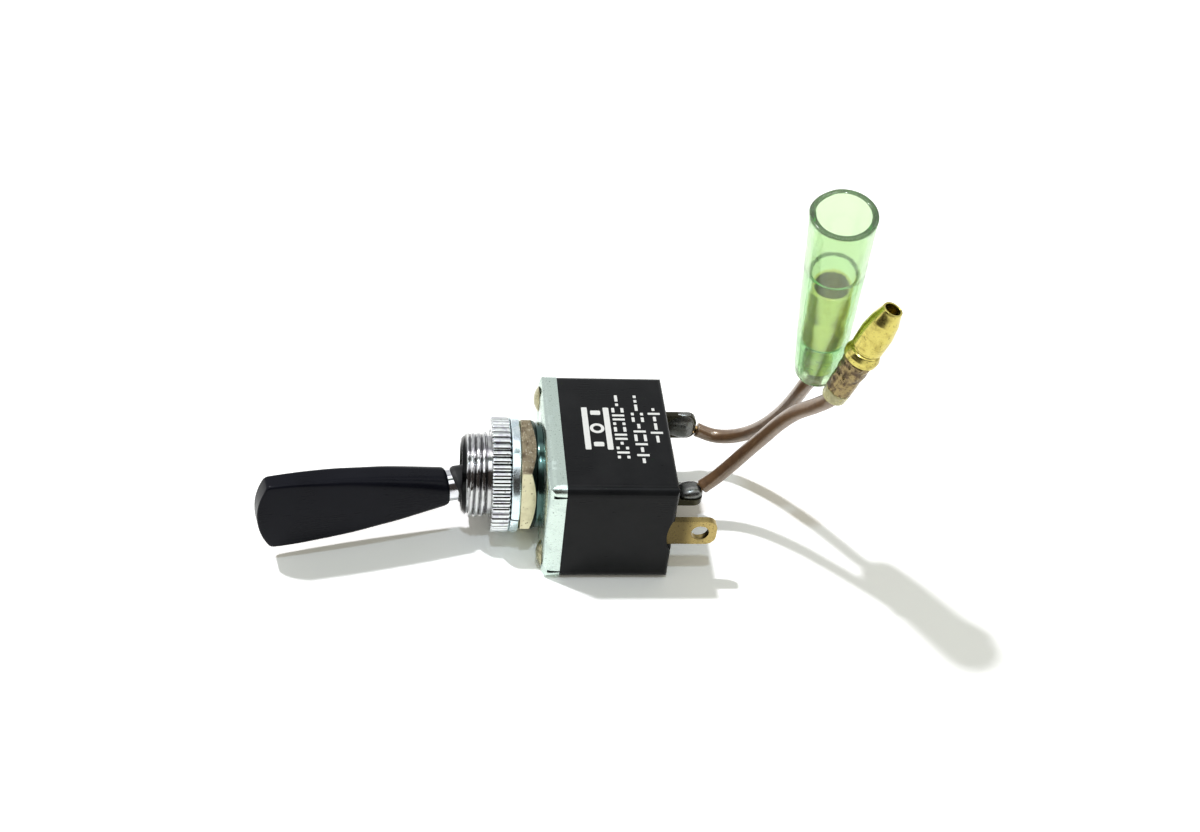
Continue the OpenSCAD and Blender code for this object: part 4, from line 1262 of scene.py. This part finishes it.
class Housing:
    """The moulded case, the folded steel cover and the two rivets."""

    def build(self, frame: dict, finishes: Finishes) -> list[Piece]:
        """Breaks the edges of the three and dresses them."""
        return carried([
            coat(softened_copy(frame, "cover", 0.1, 3), finishes.cover),
            coat(softened_copy(frame, "case", 0.12, 3), finishes.case),
            coat(softened_copy(frame, "cover_rivets", 0.08, 2), finishes.rivet)])


# ---- Terminals and solder --------------------------------------------------------------

@dataclass
class Terminals:
    """The brass tabs, the solder on two of them and the bare strands."""

    rear_y: float = 10.9
    common_z: float = -3.0
    wires: int = 7
    wire_radius: float = 0.185
    lay_radius: float = 0.37
    lay_turns: float = 0.5

    def tabs(self, frame: dict, finishes: Finishes) -> list[Piece]:
        """Breaks the edges of the three tabs; flux has darkened the two soldered ones."""
        return [coat(softened_copy(frame, node, 0.12, 3), finish)
                for node, finish in (("terminal_rear", finishes.fluxed),
                                     ("terminal_front", finishes.tab),
                                     ("terminal_common", finishes.fluxed))]

    def blob(self, name: str, centre: Sequence[float], stations: Array, sizes: Array,
             seed: int) -> Piece:
        """A blob of solder as a stack of ovals along X.

        An oval at station s is centre + (s, b cos a, c sin a) with half sizes b and c,
        pushed in and out by a smooth bumpiness of about 0.02 mm.

        Args:
            name: The piece's name.
            centre: The middle line's place, in mm.
            stations: Stations along X, shape (n,).
            sizes: Half sizes at each station, shape (n, 2).
            seed: Which bumpiness.

        Returns:
            The blob.
        """
        fine = 0.5 - 0.5 * np.cos(np.pi * np.linspace(0.0, 1.0, 40))
        at = np.linspace(0.0, 1.0, len(stations))
        s = np.interp(fine, at, stations)
        b, c = (np.interp(s, stations, sizes[:, i]) for i in (0, 1))
        taper = np.sqrt(np.clip(1 - np.abs(2 * fine - 1) ** 4, 0.0004, 1.0))
        a = (np.arange(48) * TAU / 48)[None, :]
        rings = np.stack([np.broadcast_to(s[:, None], (40, 48)) + centre[0],
                          centre[1] + (b * taper)[:, None] * np.cos(a),
                          centre[2] + (c * taper)[:, None] * np.sin(a)], -1)
        middle = np.array(centre) + np.stack([s, 0 * s, 0 * s], 1)[:, None]
        way = rings - middle
        way /= np.maximum(np.linalg.norm(way, axis=-1, keepdims=True), 1e-6)
        bumps = 0.02 * soft_noise(rings, 5.0, seed) * taper[:, None]
        return ringed(name, rings + way * bumps[..., None], crease=70.0)

    def rear_solder(self) -> Piece:
        """The blob round the rear tab: a flux-brown neck and a swollen end."""
        s = np.array([-2.3, -1.7, -0.8, 0.0, 0.7, 1.25, 1.7, 2.0, 2.15])
        sizes = np.array([[0.85, 1.9], [0.9, 2.0], [0.98, 2.1], [1.1, 2.25], [1.2, 2.3],
                          [1.15, 2.1], [1.0, 1.65], [0.75, 1.1], [0.5, 0.6]])
        obj = self.blob("solder_blob_rear", (22.1, self.rear_y, 0.0), s, sizes, 5)
        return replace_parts(obj, "solder_rear")

    def common_solder(self) -> Piece:
        """The dome on the middle lug's upper face."""
        s = np.array([-1.9, -1.2, -0.3, 0.5, 1.1, 1.5, 1.8, 1.9])
        sizes = np.array([[1.4, 0.75], [1.6, 0.98], [1.65, 1.15], [1.6, 1.25], [1.42, 1.15],
                          [1.12, 0.9], [0.7, 0.5], [0.4, 0.3]])
        obj = self.blob("solder_blob_common", (22.4, 0.0, self.common_z + 0.12), s,
                        sizes, 9)
        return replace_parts(obj, "solder_common")

    def strands(self, name: str, start: Sequence[float], end: Sequence[float],
                node: str, seed: int) -> Piece:
        """Bare strands between solder and insulation.

        All wires but the last wind round the straight line: each lies at the lay's
        radius, an even share of a turn from the one before, and turns by `lay_turns`
        over the length. The last one is the core.

        Args:
            name: The piece's name.
            start: Where the strands leave the solder, in mm.
            end: Where they enter the insulation, in mm.
            node: The CAD node that they stand for.
            seed: Which small unevenness.

        Returns:
            The strands as one piece.
        """
        a, b = np.array(start), np.array(end)
        t = np.linspace(0.0, 1.0, 14)[:, None]
        way = (b - a) / np.linalg.norm(b - a)
        side = np.cross(way, (0.0, 0.0, 1.0))
        side /= np.linalg.norm(side)
        up = np.cross(way, side)
        rng = np.random.default_rng(seed)
        parts = []
        core = self.wires - 1
        for k in range(self.wires):
            turn = TAU * (k / core + self.lay_turns * t) + 0.3 * rng.normal()
            out = (0.0 if k == core else self.lay_radius) * (1 + 0.1 * np.sin(6 * t + k))
            line = a + (b - a) * t + out * (np.cos(turn) * side + np.sin(turn) * up)
            rings, _ = tube_rings(line, np.full(len(t), self.wire_radius), 12, side)
            parts.append(ringed(f"{name}_{k}", rings, crease=60.0))
        obj = joined(name, parts)
        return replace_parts(obj, node)

    def build(self, frame: dict, finishes: Finishes) -> list[Piece]:
        """Makes and dresses tabs, solder and strands."""
        pieces = self.tabs(frame, finishes)
        pieces += [coat(self.rear_solder(), finishes.solder),
                   coat(self.common_solder(), finishes.solder)]
        pieces += [coat(self.strands("strands_rear", (22.9, 10.75, -0.4),
                                     (24.75, 10.85, -0.86), "wire_rear", 1),
                        finishes.copper),
                   coat(self.strands("strands_common", (22.6, 0.0, -2.5),
                                     (24.4, 0.1, -1.95), "wire_common", 2),
                        finishes.copper)]
        return carried(pieces)


# ---- Leads and connectors ----------------------------------------------------------------

@dataclass
class Lead:
    """One insulated lead along its route, from its solder to inside its connector."""

    name: str
    node: str
    route: tuple[tuple[float, float, float], ...]
    side: tuple[float, float, float]
    diameter: float = 2.05

    def build(self, finishes: Finishes, with_pieces: list) -> Piece:
        """The radius is even, apart from a slight swell of the cut end near the solder.
        The loop at either end is narrowed a little, so that the edges look cut.
        """
        around = 32
        line = smooth_line(np.array(self.route), 16)
        rings, along = tube_rings(line, np.full(len(line), self.diameter / 2), around,
                                  self.side)
        swell = 1.0 + 0.03 * np.exp(-((along - 0.35) / 0.25) ** 2)
        swell *= 1.0 + 0.006 * soft_noise(line, 6.0, 21)
        rings = line[:, None] + (rings - line[:, None]) * swell[:, None, None]
        for i, cut in ((0, 0.8), (-1, 0.9)):
            rings[i] = line[i] + (rings[i] - line[i]) * cut
        obj = ringed(self.name, rings, crease=60.0)
        add_surface_map(obj, along, around)
        coat(obj, finishes.lead)
        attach(obj, "switch_body")
        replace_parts(obj, self.node)
        return obj


@dataclass
class Socket:
    """The clear green sleeve with the brass socket inside it."""

    place: Place = Place.leaning((35.6, -3.7, 22.4), 15.4, -115.3)
    length: float = 30.0
    mouth: float = 3.0

    def sleeve(self) -> Piece:
        """Turns the sleeve, with a pinched lobe in its mouth.

        The lobe is a cosine bell over a narrow angle and over the mouth: there the wall
        stands out by up to 0.22 mm and its rim sinks by up to 0.5 mm.
        """
        corners = [(0.0, 1.7), (0.0, 2.9), (7.0, 3.4), (self.length, 4.05),
                   (self.length, 3.25), (20.4, 3.05), (20.2, 2.6), (19.4, 2.6),
                   (18.1, 2.55), (7.6, 2.55), (7.0, 1.7)]
        outline = refined(softened(corners, [0.1, 0.4, 6.0, 0.28, 0.22, 0.1, 0.12, 0.1, 0.1,
                                             0.2, 0.2], 7), 0.8)
        angle = np.arange(96) * TAU / 96
        shape = outline[:, None, :] + np.zeros((1, 96, 1))
        along, radius = shape[..., 0], shape[..., 1]
        bell = np.clip(np.cos(angle - 4.3) * 5.0 - 4.0, 0.0, 1.0)
        near = np.clip((along - self.length + self.mouth) / self.mouth, 0.0, 1.0)
        along = along - 0.5 * bell[None, :] * near
        radius = radius + (0.03 * np.sin(2 * angle + 0.4) + 0.22 * bell)[None, :] * near
        rings = spun(along, radius, angle, 2)
        rings[..., :2] *= (1 + 0.006 * soft_noise(rings, 6.0, 31))[..., None]
        obj = ringed("sleeve_clear", rings, self.place, closed=True, crease=45.0)
        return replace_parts(obj, "socket_sleeve")

    def barrel(self) -> Piece:
        """Turns the brass socket, with a rolled seam, a waist and a crimped foot."""
        outline = refined(softened(
            [(1.6, 1.2), (1.6, 1.65), (7.0, 1.65), (7.6, 2.5), (17.9, 2.5), (17.9, 2.1),
             (8.0, 2.1), (8.0, 1.2)], [0.05, 0.15, 0.3, 0.3, 0.12, 0.08, 0.1, 0.05]), 0.35)

        def seam(along: Array, radius: Array, angle: Array) -> Array:
            """What the seam, the shallow waist and the crimped foot take away."""
            near = ridge(angle, 4.9, 0.1)
            waist = 0.12 * np.exp(-((along - 12.5) / 1.0) ** 2)
            crimp = 0.14 * (along < 6.6) * (0.5 + 0.5 * np.sin(3 * angle))
            wide = np.where(radius > 2.2, 0.25 * near + waist, 0.0)
            return -wide - np.where((radius > 1.4) & (radius < 1.8), crimp, 0.0)

        obj = turned("socket_barrel", outline, self.place, 96, seam, axis=2)
        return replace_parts(obj, "socket_terminal")

    def build(self, finishes: Finishes) -> list[Piece]:
        """Makes and dresses sleeve and socket."""
        return carried([coat(self.sleeve(), finishes.sleeve),
                        coat(self.barrel(), finishes.socket)])


@dataclass
class Bullet:
    """The brass bullet with its crimped barrel and the cream collar."""

    place: Place = Place.leaning((36.4, -9.9, 23.0), 16.5, -21.6)

    def plug(self) -> Piece:
        """Turns the bullet from the locating ring to its hollow tip, with four flats."""
        corners = [(6.9, 1.3), (6.9, 1.7), (7.46, 2.28), (8.16, 2.33), (8.86, 2.08),
                   (9.06, 1.8), (9.26, 1.8), (9.46, 2.08), (12.0, 2.14), (14.0, 1.86),
                   (15.4, 1.42), (16.0, 1.28), (16.0, 1.02), (13.5, 0.9), (12.8, 0.5),
                   (7.4, 0.5)]
        rounds = [0.0, 0.1, 0.16, 0.16, 0.12, 0.05, 0.05, 0.12, 1.2, 1.0, 0.4, 0.1, 0.08,
                  0.1, 0.0, 0.0]
        obj = turned("bullet_plug", refined(softened(corners, rounds), 0.22), self.place,
                     96, lambda x, r, a: 0.03 * (r > 1.2) * (x > 11) * np.sin(4 * a)
                     * np.clip((x - 11) / 4, 0, 1), axis=2)
        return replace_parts(obj, "bullet_terminal")

    def crimp(self) -> Piece:
        """Turns the crimped barrel, with dips at the crimps and a fold at the seam."""
        outline = refined(softened([(1.6, 1.15), (1.6, 1.72), (3.4, 1.78), (7.2, 2.0),
                                    (7.2, 1.0), (5.4, 1.0)],
                                   [0.05, 0.15, 0.2, 0.3, 0.0, 0.0]), 0.2)

        def dents(along: Array, radius: Array, angle: Array) -> Array:
            """Two rows of crimp dents, a folded seam and hammered unevenness."""
            p = spun(along, radius, angle, 2)
            rows = np.exp(-((along - 4.2) / 0.5) ** 2) + 0.8 * np.exp(
                -((along - 6.0) / 0.45) ** 2)
            squeeze = 0.2 * rows * (0.4 + 0.6 * np.cos(angle - 1.1) ** 2)
            fold = 0.22 * ridge(angle, 4.2, 0.22)
            return np.where(radius > 1.45, 0.05 * soft_noise(p, 1.3, 17) - squeeze - fold,
                            0.0)

        return turned("bullet_crimp", outline, self.place, 96, dents, axis=2, crease=50.0)

    def collar(self) -> Piece:
        """Turns the cream collar with a rolled front edge."""
        outline = refined(softened([(0.0, 1.2), (0.0, 1.6), (1.6, 1.74), (1.6, 1.2)],
                                   [0.1, 0.2, 0.15, 0.05]), 0.2)
        obj = turned("bullet_sleeve", outline, self.place, 72,
                     lambda x, r, a: 0.03 * (r > 1.5) * np.sin(3 * a + 0.5), axis=2)
        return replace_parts(obj, "bullet_collar")

    def build(self, finishes: Finishes) -> list[Piece]:
        """Makes and dresses bullet, crimp and collar."""
        return carried([coat(self.plug(), finishes.bullet),
                        coat(self.crimp(), finishes.crimp),
                        coat(self.collar(), finishes.collar)])


# ---- Pieces inside the case -----------------------------------------------------------

@dataclass(frozen=True)
class Mechanism:
    """Finishes of the changeover's CAD nodes, which keep their own meshes."""

    finish_of: tuple[tuple[str, str], ...] = (
        ("pivot_pin", "spring"), ("plunger", "socket"), ("plunger_spring", "spring"),
        ("rocker", "tab"), ("rocker_buttons", "silver"), ("fixed_contact_rear", "silver"),
        ("fixed_contact_front", "silver"))

    def dress(self, frame: dict, finishes: Finishes) -> None:
        """Puts a finish into each node's material slots."""
        for node, finish in self.finish_of:
            mesh = frame["nodes"][node].data
            mesh.materials.clear()
            mesh.materials.append(getattr(finishes, finish))


# ---- Studio ------------------------------------------------------------------------------

@dataclass
class Lamp:
    """A square lamp: the direction towards it, and the light that it gives the floor."""

    name: str
    towards: tuple[float, float, float]
    share: float
    colour: Colour
    away: float = 2.4
    side: float = 0.1

    def build(self, target: Sequence[float]) -> None:
        """Hangs the lamp so that it gives `share` of a white floor's light at the target.

        A square lamp of area s^2 and power P gives P cos(a) cos(b) / (pi d^2), and a
        white floor shows that divided by pi.
        """
        way = np.array(self.towards) / np.linalg.norm(self.towards)
        data = bpy.data.lights.new(self.name, "AREA")
        data.shape, data.size = "SQUARE", self.side
        data.color = self.colour
        data.energy = self.share * np.pi * np.pi * self.away**2 / way[2]
        obj = bpy.data.objects.new(self.name, data)
        obj.location = Vector(target) + Vector(way * self.away)
        obj.rotation_euler = Vector(way).to_track_quat("Z", "Y").to_euler()
        bpy.context.scene.collection.objects.link(obj)


@dataclass
class Studio:
    """Camera, pale floor, two lamps and a soft room.

    Each of `bands` is an angle in degrees and the light that glossy rays meet there,
    where 1 is white. Two of them are about twice as bright as white.
    """

    camera_at: tuple[float, float, float] = (-18.31168, -162.15839, 149.58427)
    camera_rows: tuple[tuple[float, float, float], ...] = (
        (0.992184, -0.086073, 0.090344), (-0.012596, 0.651232, 0.758774),
        (0.124145, 0.753982, -0.645058))
    lens: float = 47.779
    floor_size: float = 4.0
    room: float = 0.39
    room_colour: Colour = (1.0, 0.97, 0.83)
    brightest: float = 2.0
    floor_gain: float = 1.42
    aim: tuple[float, float, float] = (0.01, 0.0, 0.0)
    bands: tuple[tuple[float, float, float, float], ...] = (
        (-180, 0.5, 0.5, 0.52), (-10, 0.35, 0.33, 0.31), (0, 0.045, 0.038, 0.033),
        (52, 0.06, 0.05, 0.045), (60, 1.9, 1.9, 1.95), (77, 2.0, 2.0, 2.0),
        (81, 0.1, 0.13, 0.11), (91, 0.13, 0.15, 0.13), (97, 1.9, 1.95, 1.9),
        (109, 1.9, 1.85, 1.95), (118, 0.42, 0.41, 0.46), (132, 0.78, 0.8, 0.79),
        (180, 0.74, 0.74, 0.77))

    def camera(self) -> None:
        """Sets the camera: its rows are its right, up and forward directions."""
        right, up, ahead = (Vector(row) for row in self.camera_rows)
        data = bpy.data.cameras.new("camera")
        data.lens, data.sensor_width = self.lens, 36.0
        data.clip_start, data.clip_end = 0.01, 20.0
        obj = bpy.data.objects.new("camera", data)
        turn = Matrix((right, up, -ahead)).transposed().to_4x4()
        obj.matrix_world = Matrix.Translation(Vector(self.camera_at) * MM) @ turn
        bpy.context.scene.collection.objects.link(obj)
        bpy.context.scene.camera = obj

    def world(self) -> None:
        """Lights the room: even light for matt surfaces, and bands for glossy ones.

        The bands follow the angle of a direction in the plane across the bushing,
        atan2(z, -y). Reflections show them in place of the white that the camera and
        clear pieces see, and they are up to `brightest` times as bright as that white.
        """
        world = bpy.data.worlds.new("room")
        bpy.context.scene.world = world
        n = Nodes(world)
        n.where = n.add("ShaderNodeTexCoord").outputs["Generated"]
        angle = n.maths("ARCTAN2", n.part(2), n.maths("MULTIPLY", n.part(1), -1.0))
        ramp = n.add("ShaderNodeValToRGB")
        stops = ramp.color_ramp.elements
        while len(stops) < len(self.bands):
            stops.new(0.5)
        for stop, (degrees, *colour) in zip(stops, self.bands):
            stop.position = (degrees + 180.0) / 360.0
            stop.color = (*(part / self.brightest for part in colour), 1.0)
        n.feed(ramp.inputs[0], n.maths("ADD", n.maths("DIVIDE", angle, TAU), 0.5))
        even = n.fed("ShaderNodeBackground", self.room_colour, self.room)
        bands = n.fed("ShaderNodeBackground", ramp.outputs[0], self.brightest)
        white = n.fed("ShaderNodeBackground", (1.0, 1.0, 1.0), 1.0)
        rays = n.add("ShaderNodeLightPath").outputs
        seen = n.maths("MAXIMUM", rays["Is Camera Ray"], rays["Is Transmission Ray"])
        lit = n.fed("ShaderNodeMixShader", rays["Is Glossy Ray"], even, bands)
        n.feed(n.add("ShaderNodeOutputWorld").inputs["Surface"],
               n.fed("ShaderNodeMixShader", seen, lit, white))

    def floor(self, height: float) -> None:
        """Lays a plain white floor at a height in metres, with a faintly uneven tone.

        Diffuse rays meet a plain pale grey. All others meet `floor_gain` times the
        floor's tone, which is more than a white floor gives back.
        """
        side, n = self.floor_size, 3
        axis = np.linspace(-side, side, n)
        x, y = np.meshgrid(axis, axis, indexing="ij")
        points = np.stack([x.ravel(), y.ravel(), np.full(n * n, height)], 1) / MM
        obj = mesh_object("floor", points, grid_faces(n, n, False, False)[:, ::-1])
        r = Recipe("white_floor")
        tone = r.blend(r.noise(90.0, 2.0, 0.5), (1.0, 1.0, 1.0), (0.985, 0.99, 0.988))
        rays = r.add("ShaderNodeLightPath")
        colour = r.blend(rays.outputs["Is Diffuse Ray"],
                         r.vector("SCALE", tone, scale=self.floor_gain), (0.8, 0.8, 0.8))
        obj.data.materials.append(r.finish(Base_Color=colour, Roughness=0.9,
                                           Specular_IOR_Level=0.0))
        if obj.data.polygons[0].normal.z < 0:
            obj.data.flip_normals()

    def build(self, low: float) -> None:
        """Sets up room, floor and lamps round the switch."""
        self.world()
        self.floor(low)
        for lamp in (Lamp("lamp_back", (-0.42, 0.235, 1.0), 0.5, (0.97, 0.96, 1.0)),
                     Lamp("lamp_front", (-0.05, -0.3, 1.0), 0.14, (0.75, 0.88, 1.0))):
            lamp.build(self.aim)


# ---- Making everything ---------------------------------------------------------------

REAR_ROUTE = ((24.5, 10.9, -0.8), (27.1, 10.4, -1.5), (29.4, 9.1, -0.5), (31.4, 7.2, 1.9),
              (32.9, 4.9, 5.4), (33.9, 2.5, 9.5), (34.5, 0.1, 13.9), (34.9, -2.1, 18.3),
              (35.6, -3.7, 22.4), (35.1, -4.7, 26.3))
COMMON_ROUTE = ((24.1, 0.1, -2.2), (26.2, 0.3, -0.2), (28.0, 0.0, 2.6), (29.5, -0.9, 5.9),
                (30.9, -2.2, 9.5), (32.1, -3.8, 13.2), (33.5, -5.7, 16.8),
                (35.2, -8.0, 20.0), (36.4, -9.9, 23.0), (37.2, -10.2, 25.9))


def main() -> None:
    """Builds the switch's pieces in order and sets up the studio."""
    logging.basicConfig(level=logging.INFO, format="%(name)s: %(message)s")
    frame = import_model()
    bpy.context.scene.view_settings.view_transform = "Standard"
    studio = Studio()
    studio.camera()
    finishes = Finishes()
    socket, bullet = Socket().build(finishes), Bullet().build(finishes)
    leads = [Lead("lead_insulation_rear", "lead_rear", REAR_ROUTE, (0.0, 0.0, 1.0)).build(
                 finishes, socket),
             Lead("lead_insulation_common", "lead_common", COMMON_ROUTE,
                  (0.0, 1.0, 0.0)).build(finishes, bullet)]
    groups = {
        "connectors": socket + bullet, "leads": leads,
        "lever": Lever().build(finishes), "bushing": [Bushing().build(finishes)],
        "stack": Stack().build(frame, finishes),
        "housing": Housing().build(frame, finishes),
        "marks": [Marks().build(finishes)], "terminals": Terminals().build(frame, finishes)}
    Mechanism().dress(frame, finishes)
    for name, pieces in groups.items():
        LOG.info("%s: %s", name, ", ".join(piece.name for piece in pieces))
    low = min(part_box("case")[0].z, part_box("hex_nut")[0].z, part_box("cover")[0].z)
    studio.build(low)


if __name__ == "__main__":
    main()
